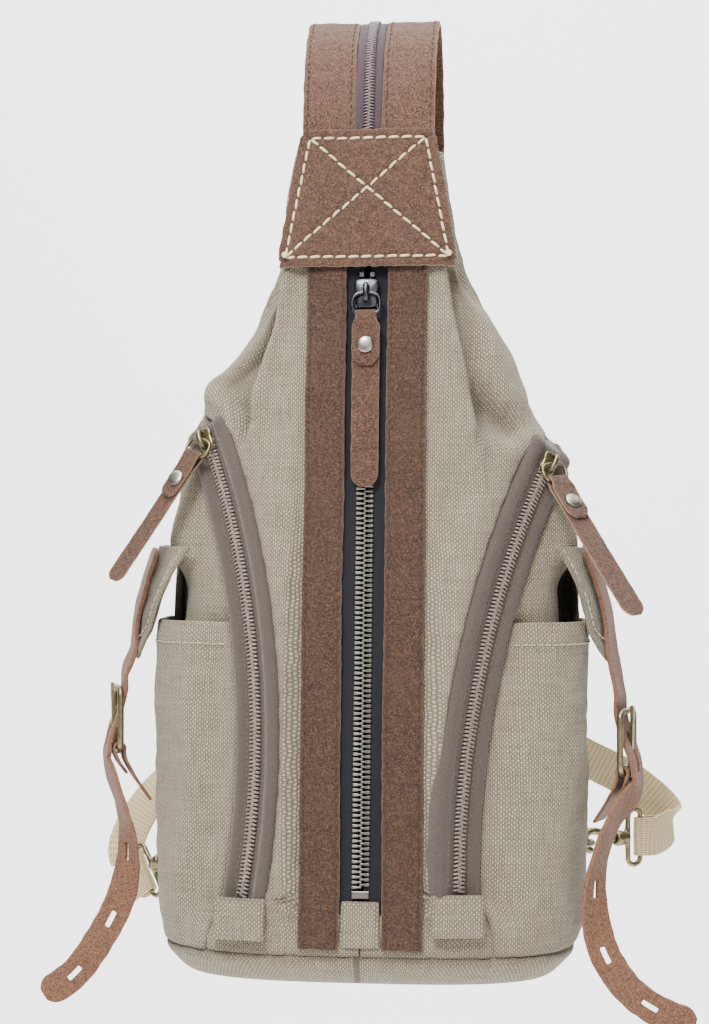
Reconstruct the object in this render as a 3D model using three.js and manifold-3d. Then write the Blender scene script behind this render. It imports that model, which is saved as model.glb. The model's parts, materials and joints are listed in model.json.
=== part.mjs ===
// Convertible sling bag: canvas teardrop body, leather trim, centre zipper, two curved
// pocket zippers, two buckled side pockets and a strap that closes with a zipper.
// Millimetres. X to the wearer's right as seen from the front, front towards -Y, +Z up.
// The origin is the middle of the base, on its underside.
import * as THREE from 'three';
import { mergeVertices } from 'three/addons/utils/BufferGeometryUtils.js';
import Module from 'manifold-3d';

const wasm = await Module();
wasm.setup();

// ---------------------------------------------------------------- driving dimensions
const GAP = 0.4;                      // clearance between neighbouring pieces
const CANVAS = 3;                     // canvas with its lining and seam allowance
const LEATHER = 2.2;
const SEAM_Z = 14;                    // seam between the base and the walls
const NECK_Z = 402;                   // top of the canvas body, under the patch
const FRONT_FOOT = 61.6;              // front face ahead of the axis, at the base seam
const FRONT_LEAN = THREE.MathUtils.degToRad(6.6);
const POCKET_RIM_Z = 172;
const FLAP_SEAM_Z = 207;
const STRIP = { inner: 10, outer: 29.5, bottomZ: 18, topZ: 352 };
const PATCH = { bottomZ: 343, topZ: 411, halfBottom: 44.5, halfTop: 33, corner: 5, thick: 3 };
const STRAP = { inner: 6.8, outer: 33, standOff: 1.75 };
const WEBBING = { width: 20, thick: 1.8 };
const SIDE_STRAP = { width: 15, thick: 2.2 };

// Height, half width, depth behind the axis, and how square the plan section is.
const STATIONS = [
  { z: 0, half: 90, back: 38, power: 3 },
  { z: 14, half: 101, back: 49, power: 3 },
  { z: 40, half: 105.5, back: 50.5, power: 3 },
  { z: 95, half: 107, back: 48.5, power: 3 },
  { z: 150, half: 107, back: 46, power: 3 },
  { z: 200, half: 103, back: 42, power: 3 },
  { z: 240, half: 93, back: 37, power: 3 },
  { z: 280, half: 77, back: 29, power: 3 },
  { z: 310, half: 64, back: 20, power: 3.6 },
  { z: 347, half: 46, back: 10, power: 6 },
  { z: 402, half: 36, back: -3, power: 6 },
];
const LEVELS = [0, 4, 9, 14, 26, 42, 60, 80, 105, 130, 155, 172, 186, 200, 214, 228, 243, 258,
  273, 288, 303, 318, 333, 347, 364, 383, 402];
const FINE = { points: 44, levels: LEVELS };
const COARSE = { points: 20, levels: [26, 60, 105, 155, 200, 243, 273, 303] };

// Chain sizes: half width, half thickness of the closed chain, half width of its slot.
const FRONT_CHAIN = { half: 4, thick: 2.5, slot: 0.8 };
const COIL_CHAIN = { half: 2.6, thick: 1.5, slot: 0.8 };

// Each pocket zipper lies on one flat arc. Its centre, radius, the compass angle and tilt
// of its axis, and the angles where the tape starts and ends and where the slider parks.
const POCKET_ZIPS = {
  left: {
    side: -1, centre: [-370, 125, 92], radius: 365, axisTurn: 60.9, axisTilt: -5.3,
    from: -8.6, to: 29.6, park: 27.4,
  },
  right: {
    side: 1, centre: [386, 187, 39], radius: 418, axisTurn: 54.4, axisTilt: -2.1,
    from: 0.3, to: 32.0, park: 29.9,
  },
};
const TAPE_HALF = 10;

// ---------------------------------------------------------------- materials
function material(color, roughness, metalness = 0) {
  return new THREE.MeshStandardMaterial({ color, roughness, metalness, flatShading: true });
}

const FINISH = {
  canvas: () => material('#a89d88', 0.95),
  lining: () => material('#4a4640', 0.9),
  foam: () => material('#d8d4ca', 0.95),
  leather: () => material('#7d573f', 0.85),
  strapLeather: () => material('#a06a4a', 0.8),
  navyTape: () => material('#23242c', 0.9),
  taupeTape: () => material('#857a73', 0.9),
  purpleTape: () => material('#4b3a40', 0.9),
  brightMetal: () => material('#b9b6ae', 0.35, 0.9),
  gunmetal: () => material('#55585c', 0.35, 0.9),
  brass: () => material('#8d8264', 0.4, 0.9),
  webbing: () => material('#c9b791', 0.95),
};

// ---------------------------------------------------------------- mesh tools
const group = new THREE.Group();

function toManifold(geometry) {
  const bare = geometry.clone();
  bare.deleteAttribute('normal');
  bare.deleteAttribute('uv');
  const merged = mergeVertices(bare, 1e-4);
  return new wasm.Manifold(new wasm.Mesh({
    numProp: 3,
    vertProperties: Float32Array.from(merged.attributes.position.array),
    triVerts: Uint32Array.from(merged.index.array),
  }));
}

function toGeometry(solid) {
  const mesh = solid.getMesh();
  const geometry = new THREE.BufferGeometry();
  geometry.setAttribute('position', new THREE.BufferAttribute(mesh.vertProperties, 3));
  geometry.setIndex(new THREE.BufferAttribute(mesh.triVerts, 1));
  geometry.computeVertexNormals();
  return geometry;
}

function join(...solids) {
  return solids.reduce((sum, solid) => sum.add(solid));
}

function addPart(name, shape, finish, parent = group) {
  const geometry = shape.isBufferGeometry ? shape : toGeometry(shape);
  const mesh = new THREE.Mesh(geometry, FINISH[finish]());
  mesh.name = name;
  parent.add(mesh);
  return mesh;
}

function block(x0, x1, y0, y1, z0, z1) {
  const box = new THREE.BoxGeometry(x1 - x0, y1 - y0, z1 - z0);
  box.translate((x0 + x1) / 2, (y0 + y1) / 2, (z0 + z1) / 2);
  return toManifold(box);
}

// Everything on the side of a plane that its normal points to.
function halfSpace(point, normal) {
  const size = 1400;
  const box = new THREE.BoxGeometry(size, size, size);
  box.translate(0, 0, size / 2);
  const turn = new THREE.Quaternion().setFromUnitVectors(new THREE.Vector3(0, 0, 1), normal);
  box.applyQuaternion(turn);
  box.translate(point.x, point.y, point.z);
  return toManifold(box);
}

// A closed body through rings that all have the same even number of points. Its ends are
// filled in strips between opposite points, so that a long curved end stays true.
function loftRings(rings, closedPath = false) {
  const count = rings[0].length;
  const positions = rings.flat().flatMap((p) => [p.x, p.y, p.z]);
  const index = [];
  const spans = closedPath ? rings.length : rings.length - 1;
  for (let i = 0; i < spans; i += 1) {
    const a = i * count;
    const b = ((i + 1) % rings.length) * count;
    for (let j = 0; j < count; j += 1) {
      const k = (j + 1) % count;
      index.push(a + j, a + k, b + k, a + j, b + k, b + j);
    }
  }
  if (!closedPath) {
    const last = (rings.length - 1) * count;
    for (let j = 0; j < count / 2 - 1; j += 1) {
      const [b, c, d] = [j + 1, count - 2 - j, count - 1 - j];
      index.push(j, c, b, j, d, c);
      index.push(last + j, last + b, last + c, last + j, last + c, last + d);
    }
  }
  const geometry = new THREE.BufferGeometry();
  geometry.setAttribute('position', new THREE.Float32BufferAttribute(positions, 3));
  geometry.setIndex(index);
  geometry.computeVertexNormals();
  return geometry;
}

const vec = (x, y, z) => new THREE.Vector3(x, y, z);

function smoothPath(points, steps) {
  return new THREE.CatmullRomCurve3(points, false, 'centripetal').getPoints(steps);
}

// The four corners of a band's section, in the order that loftRings needs.
function bandSection(p, across, tangent, width, thick) {
  const normal = across.clone().cross(tangent).normalize();
  return [[-1, -1], [-1, 1], [1, 1], [1, -1]].map(([u, v]) => p.clone()
    .addScaledVector(across, u * width / 2)
    .addScaledVector(normal, v * thick / 2));
}

function pathTangent(path, i) {
  const before = path[Math.max(i - 1, 0)];
  const after = path[Math.min(i + 1, path.length - 1)];
  return after.clone().sub(before).normalize();
}

// A flat band along a path, facing the way that faceNormal gives for each fraction of it.
function ribbon(path, faceNormal, widthAt, thick) {
  return loftRings(path.map((p, i) => {
    const t = i / (path.length - 1);
    const tangent = pathTangent(path, i);
    const across = tangent.clone().cross(faceNormal(t)).normalize();
    return bandSection(p, across, tangent, widthAt(t), thick);
  }));
}

// A band whose width direction stays fixed, so that it can fold back over itself.
function foldedRibbon(path, across, width, thick) {
  return loftRings(path.map((p, i) => {
    const widthHere = typeof width === 'function' ? width(p) : width;
    return bandSection(p, across, pathTangent(path, i), widthHere, thick);
  }));
}

// Round wire along a path that lies in a plane.
function wire(path, planeNormal, radius, closedPath, sides = 8) {
  const rings = path.map((p, i) => {
    const count = path.length;
    const before = closedPath ? path[(i + count - 1) % count] : path[Math.max(i - 1, 0)];
    const after = closedPath ? path[(i + 1) % count] : path[Math.min(i + 1, count - 1)];
    const tangent = after.clone().sub(before).normalize();
    const side = planeNormal.clone().cross(tangent).normalize();
    return Array.from({ length: sides }, (_, k) => {
      const angle = (2 * Math.PI * k) / sides;
      return p.clone()
        .addScaledVector(side, Math.cos(angle) * radius)
        .addScaledVector(planeNormal, Math.sin(angle) * radius);
    });
  });
  return loftRings(rings, closedPath);
}

function roundedLoop(width, height, radius, steps = 4) {
  const points = [];
  const corners = [
    [width / 2 - radius, height / 2 - radius, 0],
    [-width / 2 + radius, height / 2 - radius, 90],
    [-width / 2 + radius, -height / 2 + radius, 180],
    [width / 2 - radius, -height / 2 + radius, 270],
  ];
  for (const [x, y, start] of corners) {
    for (let i = 0; i <= steps; i += 1) {
      const a = THREE.MathUtils.degToRad(start + (90 * i) / steps);
      points.push(vec(x + radius * Math.cos(a), y + radius * Math.sin(a), 0));
    }
  }
  return points;
}

function extrudeOutline(points, z0, z1) {
  const shape = new THREE.Shape(points.map(([x, y]) => new THREE.Vector2(x, y)));
  const geometry = new THREE.ExtrudeGeometry(shape, { depth: z1 - z0, bevelEnabled: false });
  geometry.translate(0, 0, z0);
  return geometry;
}

function cylinder(radius, length, sides = 20) {
  return new THREE.CylinderGeometry(radius, radius, length, sides);
}

// ---------------------------------------------------------------- body surface
function stationValue(key, z) {
  let i = STATIONS.findIndex((s) => s.z > z) - 1;
  if (i < 0) i = STATIONS.length - 2;
  const slope = (k) => {
    const low = STATIONS[Math.max(k - 1, 0)];
    const high = STATIONS[Math.min(k + 1, STATIONS.length - 1)];
    return (high[key] - low[key]) / (high.z - low.z);
  };
  const a = STATIONS[i];
  const b = STATIONS[i + 1];
  const span = b.z - a.z;
  const t = (z - a.z) / span;
  const h = 3 * t * t - 2 * t * t * t;
  return a[key] * (1 - h) + b[key] * h
    + span * slope(i) * t * (1 - t) * (1 - t) - span * slope(i + 1) * t * t * (1 - t);
}

function frontDepth(z) {
  const above = FRONT_FOOT - (z - SEAM_Z) * Math.tan(FRONT_LEAN);
  const tuck = Math.max(0, SEAM_Z - z) / SEAM_Z;
  return above - 10 * tuck * tuck;
}

// Plan outline at one height, drawn in by the given amounts at the sides and faces.
function bodyRing(z, sideInset, faceInset, points) {
  const half = stationValue('half', z) - sideInset;
  const front = frontDepth(z) - faceInset;
  const back = stationValue('back', z) - faceInset;
  const middle = (back - front) / 2;
  const depth = (back + front) / 2;
  const power = 2 / stationValue('power', z);
  return Array.from({ length: points }, (_, k) => {
    const a = (2 * Math.PI * (k + 0.5)) / points;
    const c = Math.cos(a);
    const s = Math.sin(a);
    return vec(Math.sign(c) * half * Math.abs(c) ** power,
      middle + Math.sign(s) * depth * Math.abs(s) ** power, z);
  });
}

function bodyLoft(low, high, sideInset, faceInset, detail = FINE) {
  const heights = [low, ...detail.levels.filter((z) => z > low + 2 && z < high - 2), high];
  return toManifold(loftRings(heights
    .map((z) => bodyRing(z, sideInset(z), faceInset(z), detail.points))));
}

function skinPoint(x, z, outward) {
  const half = stationValue('half', z);
  const front = frontDepth(z);
  const back = stationValue('back', z);
  const power = stationValue('power', z);
  const middle = (back - front) / 2;
  const depth = (back + front) / 2;
  const reach = Math.max(0, 1 - Math.abs(x / half) ** power) ** (1 / power);
  const gradient = vec(
    Math.sign(x) * Math.abs(x / half) ** (power - 1) / half,
    -(reach ** (power - 1)) / depth, 0).normalize();
  return vec(x, middle - depth * reach, z).addScaledVector(gradient, outward);
}

// A point on the side of the body, given how far back it is.
function sidePoint(side, y, z, outward) {
  const half = stationValue('half', z);
  const middle = (stationValue('back', z) - frontDepth(z)) / 2;
  const depth = (stationValue('back', z) + frontDepth(z)) / 2;
  const power = stationValue('power', z);
  const v = (y - middle) / depth;
  const reach = Math.max(0, 1 - Math.abs(v) ** power) ** (1 / power);
  const gradient = vec(side * reach ** (power - 1) / half,
    Math.sign(v) * Math.abs(v) ** (power - 1) / depth, 0).normalize();
  return vec(side * half * reach, y, z).addScaledVector(gradient, outward);
}

const ease = (z, from, to) => THREE.MathUtils.smoothstep(z, from, to);

// ---------------------------------------------------------------- frames of the zippers
const frontFrame = new THREE.Group();
frontFrame.position.set(0, -frontDepth(200), 200);
frontFrame.rotation.x = Math.PI / 2 - FRONT_LEAN;
group.add(frontFrame);

// Distance along the front face for a height above the base.
const along = (z) => (z - 200) / Math.cos(FRONT_LEAN);

function pocketFrame(zip) {
  const turn = THREE.MathUtils.degToRad(zip.axisTurn);
  const tilt = THREE.MathUtils.degToRad(zip.axisTilt);
  const axis = vec(-zip.side * Math.cos(turn) * Math.cos(tilt),
    Math.sin(turn) * Math.cos(tilt), Math.sin(tilt));
  const outward = axis.clone().negate();
  const up = vec(0, 0, 1).addScaledVector(axis, -axis.z).normalize();
  const across = up.clone().cross(outward).normalize();
  const frame = new THREE.Group();
  frame.position.set(...zip.centre);
  frame.setRotationFromMatrix(new THREE.Matrix4().makeBasis(across, up, outward));
  group.add(frame);
  return frame;
}

const pocketFrames = {
  left: pocketFrame(POCKET_ZIPS.left),
  right: pocketFrame(POCKET_ZIPS.right),
};
group.updateMatrixWorld(true);

function arcPoint(zip, radius, degrees) {
  const a = THREE.MathUtils.degToRad(degrees);
  return [-zip.side * radius * Math.cos(a), radius * Math.sin(a)];
}

// A flat sector of the zipper's arc between two radii, in the frame of that zipper.
function sector(zip, inner, outer, from, to, z0, z1) {
  const steps = 22;
  const turn = (k) => from + ((to - from) * k) / steps;
  const outline = [];
  for (let k = 0; k <= steps; k += 1) outline.push(arcPoint(zip, outer, turn(k)));
  for (let k = steps; k >= 0; k -= 1) outline.push(arcPoint(zip, inner, turn(k)));
  return extrudeOutline(outline, z0, z1);
}

// A cutter moved from a frame into the bag's own axes.
function placed(geometry, frame) {
  return toManifold(geometry.clone().applyMatrix4(frame.matrixWorld));
}

// ---------------------------------------------------------------- canvas body
const backLean = vec(0, Math.cos(0.105), Math.sin(0.105));
const backSeam = (shift) => vec(0, 34, 10).addScaledVector(backLean, shift);
const behindSeam = halfSpace(backSeam(GAP / 2), backLean);
const aheadOfSeam = halfSpace(backSeam(-GAP / 2), backLean.clone().negate());
const aboveBase = halfSpace(vec(0, 0, SEAM_Z + GAP), vec(0, 0, 1));
const belowRim = halfSpace(vec(0, 0, POCKET_RIM_Z), vec(0, 0, -1));

function buildBody() {
  const zero = () => 0;
  const inset = (amount) => () => amount;
  const outer = bodyLoft(0, NECK_Z, zero, zero);
  const skin = outer.subtract(bodyLoft(CANVAS, NECK_Z - CANVAS, inset(CANVAS), inset(CANVAS)));

  // The side panels run behind the side pockets, so they are drawn in up to the rim.
  const wallIn = (z) => CANVAS + 0.6 + 9.4 * ease(z, 18, 50) - 13 * ease(z, 185, 212);
  const faceIn = (z) => (CANVAS + 0.6) * (1 - ease(z, 176, 206));
  const wallInner = (z) => wallIn(z) + CANVAS;
  const faceInner = (z) => faceIn(z) + CANVAS;
  const core = bodyLoft(SEAM_Z, 330, wallIn, faceIn)
    .subtract(bodyLoft(SEAM_Z - 2, 332, wallInner, faceInner));

  const wall = skin.intersect(aboveBase);
  addPart('bottom_panel', skin.intersect(halfSpace(vec(0, 0, SEAM_Z), vec(0, 0, -1))), 'canvas');
  addPart('back_panel', wall.intersect(behindSeam), 'canvas');

  const zipOpening = placed(extrudeOutline(
    [[-13.2, along(33)], [13.2, along(33)], [13.2, along(345)], [-13.2, along(345)]], -12, 12),
  frontFrame);
  for (const [name, zip] of Object.entries(POCKET_ZIPS)) {
    const frame = pocketFrames[name];
    const ownHalf = halfSpace(vec(zip.side * GAP / 2, 0, 0), vec(zip.side, 0, 0));
    const disc = (radius) => placed(cylinder(radius, 500, 160).rotateX(Math.PI / 2), frame);
    const sideEdge = zip.radius - TAPE_HALF - GAP;
    const opening = placed(sector(zip, sideEdge - 2, zip.radius + TAPE_HALF + GAP,
      zip.from - 0.1, zip.to + 0.1, -24, 24), frame);
    const front = wall.intersect(aheadOfSeam).intersect(ownHalf)
      .subtract(disc(sideEdge + GAP)).subtract(opening).subtract(zipOpening);
    addPart(`front_panel_${name}`, front, 'canvas');
    const sideRegion = disc(sideEdge).intersect(aheadOfSeam).intersect(aboveBase)
      .intersect(ownHalf);
    addPart(`side_panel_${name}`, core.intersect(sideRegion), 'canvas');
    addPart(`side_pocket_${name}`, skin.intersect(sideRegion).intersect(belowRim), 'canvas');
  }
}

function buildInside() {
  const inner = (low, high, amount) => bodyLoft(low, high, () => amount, () => amount, COARSE);
  const slot = block(-14, 14, -90, -8, 30, 300);
  addPart('lining', inner(20, 316, 19).subtract(inner(21, 315, 20.2)).subtract(slot), 'lining');
  const pad = inner(24, 318, 4.2).subtract(inner(20, 322, 11))
    .intersect(halfSpace(backSeam(11), backLean));
  addPart('back_padding', pad, 'foam');
}

// ---------------------------------------------------------------- zipper sliders and pulls
// Slider parts are drawn with x across the chain, y towards its closed end, z outward.
const SLIDER_PLATE = 1.5;
const RING_WIRE = 0.8;
const CROWN_HOLE = 2.8;

function sliderBody(chain, length, tapeTop) {
  const shoulder = chain.half + 2.3;
  const waist = chain.half + 1.5;
  const half = length / 2;
  const outline = [[-waist, -half], [waist, -half], [waist, half * 0.1], [shoulder, half * 0.5],
    [shoulder - 0.8, half], [-shoulder + 0.8, half], [-shoulder, half * 0.5], [-waist, half * 0.1]];
  const inside = chain.thick + GAP;
  const outside = inside + SLIDER_PLATE;
  const upper = toManifold(extrudeOutline(outline, inside, outside));
  const lower = toManifold(extrudeOutline(outline, -outside, -inside));
  const post = block(-0.45, 0.45, half * 0.2, half * 0.8, -outside + 0.2, outside - 0.2);
  const flange = (side, face) => {
    const x = [side * (chain.half + GAP), side * waist].sort((a, b) => a - b);
    const z = [face * (tapeTop + GAP), face * (inside + 0.2)].sort((a, b) => a - b);
    return block(x[0], x[1], -half, half * 0.1, z[0], z[1]);
  };
  const bridge = block(-1.1, 1.1, -4.4, 4.4, outside - 0.2, outside + CROWN_HOLE + 1.4)
    .subtract(block(-2, 2, -2.8, 2.8, outside, outside + CROWN_HOLE));
  return join(upper, lower, post, flange(-1, -1), flange(-1, 1), flange(1, -1), flange(1, 1),
    bridge);
}

const crownHeight = (chain) => chain.thick + GAP + SLIDER_PLATE + CROWN_HOLE / 2;

// A rounded wire loop hanging from its top bar, which lies on the x axis.
function pullRing(width, height) {
  const loop = roundedLoop(width, height, 2.2).map((p) => p.add(vec(0, -height / 2, 0)));
  return wire(loop, vec(0, 0, 1), RING_WIRE, true);
}

// A leather strip folded over the ring's lower bar: a short tongue in front and the long
// pull behind, riveted together.
const PULL = { leather: 1.5, loop: 2.0, layer: 0.95, neck: 10, flap: 25, rivetY: -15 };

function leatherPull(length, width) {
  const loop = [];
  for (let k = 0; k <= 6; k += 1) {
    const a = THREE.MathUtils.degToRad(90 - 30 * k);
    loop.push([PULL.loop * Math.cos(a), PULL.loop * Math.sin(a)]);
  }
  const round = [0.25, 0.6, 0.85, 1].map((s) => s * width / 2);
  const tongue = [...round.map((d) => [-PULL.flap - width / 2 + d, PULL.layer]),
    [-8, PULL.layer], [-3, PULL.loop - 0.2]];
  const tail = [[-3, -PULL.loop + 0.2], [-8, -PULL.layer],
    ...round.reverse().map((d) => [-length + d, -PULL.layer])];
  const path = [...tongue, ...loop, ...tail].map(([y, z]) => vec(0, y, z));
  const widthAt = (p) => {
    if (p.y > -4) return PULL.neck;
    const end = p.z > 0 ? PULL.flap + width / 2 : length;
    const fromEnd = Math.min(width / 2, end + p.y);
    return Math.max(3, width * Math.sqrt(1 - (1 - (2 * fromEnd) / width) ** 2));
  };
  const strip = toManifold(foldedRibbon(path, vec(1, 0, 0), widthAt, PULL.leather));
  const hole = toManifold(cylinder(1.4, 12, 12).rotateX(Math.PI / 2)
    .translate(0, PULL.rivetY, 0));
  return strip.subtract(hole);
}

function rivet() {
  const face = PULL.layer + PULL.leather / 2 + 0.3;
  const profile = [[0, -face - 0.8], [2.6, -face - 0.8], [2.6, -face], [1, -face], [1, face],
    [4.2, face], [4, face + 0.6], [2.6, face + 1.1], [0, face + 1.3]];
  const lathe = new THREE.LatheGeometry(profile.map(([r, h]) => new THREE.Vector2(r, h)), 20);
  return lathe.rotateX(Math.PI / 2).translate(0, PULL.rivetY, 0);
}

// Adds slider, ring, pull and rivet to a frame. The ring swings in the slider's crown and
// the pull swings on the ring; yaw turns both sideways, lift raises each off the face.
function hangPull(prefix, sliderFrame, chain, options) {
  const ringFrame = new THREE.Group();
  ringFrame.position.set(0, 0, crownHeight(chain));
  ringFrame.rotation.set(-options.ringLift, 0, options.yaw, 'ZYX');
  sliderFrame.add(ringFrame);
  addPart(`${prefix}_pull_ring`, pullRing(options.ringWidth, options.ringHeight),
    options.ringFinish, ringFrame);
  const pullFrame = new THREE.Group();
  pullFrame.position.set(0, -options.ringHeight, 0);
  pullFrame.rotation.set(-options.pullLift, 0, 0);
  ringFrame.add(pullFrame);
  addPart(`${prefix}_pull`, leatherPull(options.length, options.width), 'leather', pullFrame);
  addPart(`${prefix}_pull_rivet`, rivet(), 'brightMetal', pullFrame);
}

// ---------------------------------------------------------------- centre zipper
const FRONT_ZIP = {
  tapeZ: -1.6, tapeThick: 1.2, tapeHalf: 12.8, park: 131, length: 15,
  stopBottom: -159, stopTop: 139.6,
};

function buildFrontZip() {
  const { tapeZ, tapeThick, tapeHalf, stopBottom, stopTop } = FRONT_ZIP;
  const tapeTop = tapeThick / 2;
  const low = along(33) + GAP;
  const high = along(345) - GAP;
  const rowLow = stopBottom + 3;
  const tape = block(-tapeHalf, tapeHalf, low, high, tapeZ - tapeTop, tapeZ + tapeTop)
    .subtract(block(-1.6, 1.6, rowLow - GAP, stopTop + GAP, -9, 9));
  addPart('front_zip_tape', tape, 'navyTape', frontFrame);

  // Both rows of teeth grip the tape's edges, and the bottom stop holds them together.
  const { half, thick, slot } = FRONT_CHAIN;
  const rowShape = block(-half, half, rowLow, stopTop, tapeZ - thick, tapeZ + thick)
    .subtract(block(-slot, slot, rowLow - 1, stopTop + 1, -9, 9));
  const groove = (side) => {
    const x = [side * 1.3, side * (half + 1)].sort((p, q) => p - q);
    return block(x[0], x[1], rowLow - 1, stopTop + 1, tapeZ - tapeTop - 0.3,
      tapeZ + tapeTop + 0.3);
  };
  const stopFace = tapeZ + tapeTop + 0.3;
  const bottomStop = block(-half - 0.2, half + 0.2, stopBottom - 0.4, stopBottom + 3.6, stopFace,
    stopFace + 2);
  const topStop = (x) => block(x - 1.4, x + 1.4, stopTop - 0.6, stopTop + 2.4, stopFace,
    stopFace + 2);
  const chain = rowShape.subtract(groove(-1)).subtract(groove(1)).add(bottomStop)
    .add(topStop(-2.6)).add(topStop(2.6));
  addPart('front_zip_teeth', chain, 'brightMetal', frontFrame);

  const tab = extrudeOutline([[-9.4, along(19)], [9.4, along(19)], [8.6, along(40)],
    [-8.6, along(40)]], 0.3, 1.8);
  addPart('front_zip_tab', tab, 'canvas', frontFrame);

  const slider = new THREE.Group();
  slider.position.set(0, FRONT_ZIP.park, tapeZ);
  frontFrame.add(slider);
  addPart('front_slider', sliderBody(FRONT_CHAIN, FRONT_ZIP.length, tapeTop), 'gunmetal', slider);
  hangPull('front', slider, FRONT_CHAIN, {
    ringWidth: 13.4, ringHeight: 11, ringFinish: 'gunmetal', yaw: 0, ringLift: 0, pullLift: 0,
    length: 84, width: 13.5,
  });
}

// ---------------------------------------------------------------- leather trim
function buildTrim() {
  for (const [name, side] of [['left', -1], ['right', 1]]) {
    const x = [side * STRIP.inner, side * STRIP.outer].sort((a, b) => a - b);
    const strip = extrudeOutline([[x[0], along(STRIP.bottomZ)], [x[1], along(STRIP.bottomZ)],
      [x[1], along(STRIP.topZ)], [x[0], along(STRIP.topZ)]], 0.3, 0.3 + LEATHER);
    addPart(`front_strip_${name}`, strip, 'leather', frontFrame);
  }
  const { halfBottom, halfTop, corner, thick } = PATCH;
  const low = along(PATCH.bottomZ);
  const high = along(PATCH.topZ);
  const patch = extrudeOutline([
    [-halfBottom + corner, low], [halfBottom - corner, low], [halfBottom, low + corner],
    [halfTop, high - corner], [halfTop - corner, high], [-halfTop + corner, high],
    [-halfTop, high - corner], [-halfBottom, low + corner]], 3.1, 3.1 + thick);
  addPart('top_patch', patch, 'leather', frontFrame);
}

// ---------------------------------------------------------------- carrying strap
const STRAP_RUN = { topZ: 404, topY: 55, endZ: 196, endY: 60 };

function strapPath() {
  const onFace = (z) => vec(0, -frontDepth(z) - STRAP.standOff / Math.cos(FRONT_LEAN), z);
  const rise = [onFace(358), onFace(385), onFace(412)];
  const over = smoothPath([onFace(412), vec(0, -12, 436), vec(0, 0, 459), vec(0, 20, 472.5),
    vec(0, 38, 466), vec(0, 49, 446), vec(0, 53.5, 424), vec(0, STRAP_RUN.topY, STRAP_RUN.topZ)],
  22).slice(1);
  return [...rise, ...over, vec(0, STRAP_RUN.endY, STRAP_RUN.endZ)];
}

function shifted(path, x) {
  return path.map((p) => p.clone().setX(x));
}

function buildStrap() {
  const path = strapPath();
  const across = vec(1, 0, 0);
  const middle = (STRAP.inner + STRAP.outer) / 2;
  const width = STRAP.outer - STRAP.inner;
  for (const [name, side] of [['left', -1], ['right', 1]]) {
    addPart(`strap_leather_${name}`,
      foldedRibbon(shifted(path, side * middle), across, width, 2.2), 'leather');
  }
  const runFrame = new THREE.Group();
  const down = vec(0, STRAP_RUN.endY - STRAP_RUN.topY, STRAP_RUN.endZ - STRAP_RUN.topZ);
  const runLength = down.length();
  const up = down.clone().negate().normalize();
  const outward = vec(-1, 0, 0).cross(up).normalize();
  runFrame.position.set(0, STRAP_RUN.endY, STRAP_RUN.endZ);
  runFrame.setRotationFromMatrix(new THREE.Matrix4().makeBasis(vec(-1, 0, 0), up, outward));
  group.add(runFrame);
  group.updateMatrixWorld(true);
  const slot = placed(new THREE.BoxGeometry(1.6, runLength - 14, 12)
    .translate(0, runLength / 2, 0), runFrame);
  const tape = toManifold(foldedRibbon(path, across, 2 * STRAP.inner - 2 * GAP, 1.2));
  const coil = toManifold(foldedRibbon(path.slice(2), across, 2 * COIL_CHAIN.half,
    2 * COIL_CHAIN.thick));
  addPart('strap_zip_tape', tape.add(coil).subtract(slot), 'purpleTape');

  const slider = new THREE.Group();
  slider.position.set(0, 16, 0);
  runFrame.add(slider);
  addPart('strap_slider', sliderBody(COIL_CHAIN, 11, 0.6), 'brass', slider);
  const pull = new THREE.Group();
  pull.position.set(0, 0, crownHeight(COIL_CHAIN));
  slider.add(pull);
  const plate = roundedLoop(8, 26, 3).map((p) => [p.x, p.y - 12.2]);
  const window = roundedLoop(4.8, 5, 1).map((p) => [p.x, p.y - 3.4]);
  const tag = toManifold(extrudeOutline(plate, -0.7, 0.7))
    .subtract(toManifold(extrudeOutline(window, -2, 2)));
  addPart('strap_pull', tag, 'brass', pull);
}

// ---------------------------------------------------------------- pocket zippers
const COIL_SLIDER = 11;
const PULL_POSE = {
  left: { yaw: -0.78, ringLift: 0.35, pullLift: 0.1, length: 74, width: 9.5 },
  right: { yaw: 0.6, ringLift: 0.4, pullLift: 0.3, length: 84, width: 12.5 },
};

// A frame lying on the front of the body just below the end of a pocket zipper.
function skinFrame(zip, frame) {
  const [x, y] = arcPoint(zip, zip.radius, zip.from);
  const foot = vec(x, y, 0).applyMatrix4(frame.matrixWorld);
  const here = skinPoint(foot.x, foot.z, 0);
  const up = here.clone().sub(skinPoint(foot.x, foot.z - 12, 0)).normalize();
  const across = skinPoint(foot.x + 6, foot.z, 0).sub(skinPoint(foot.x - 6, foot.z, 0));
  across.addScaledVector(up, -across.dot(up)).normalize();
  const onSkin = new THREE.Group();
  onSkin.position.copy(here);
  onSkin.setRotationFromMatrix(new THREE.Matrix4().makeBasis(across, up, across.clone().cross(up)));
  group.add(onSkin);
  return onSkin;
}

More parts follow.
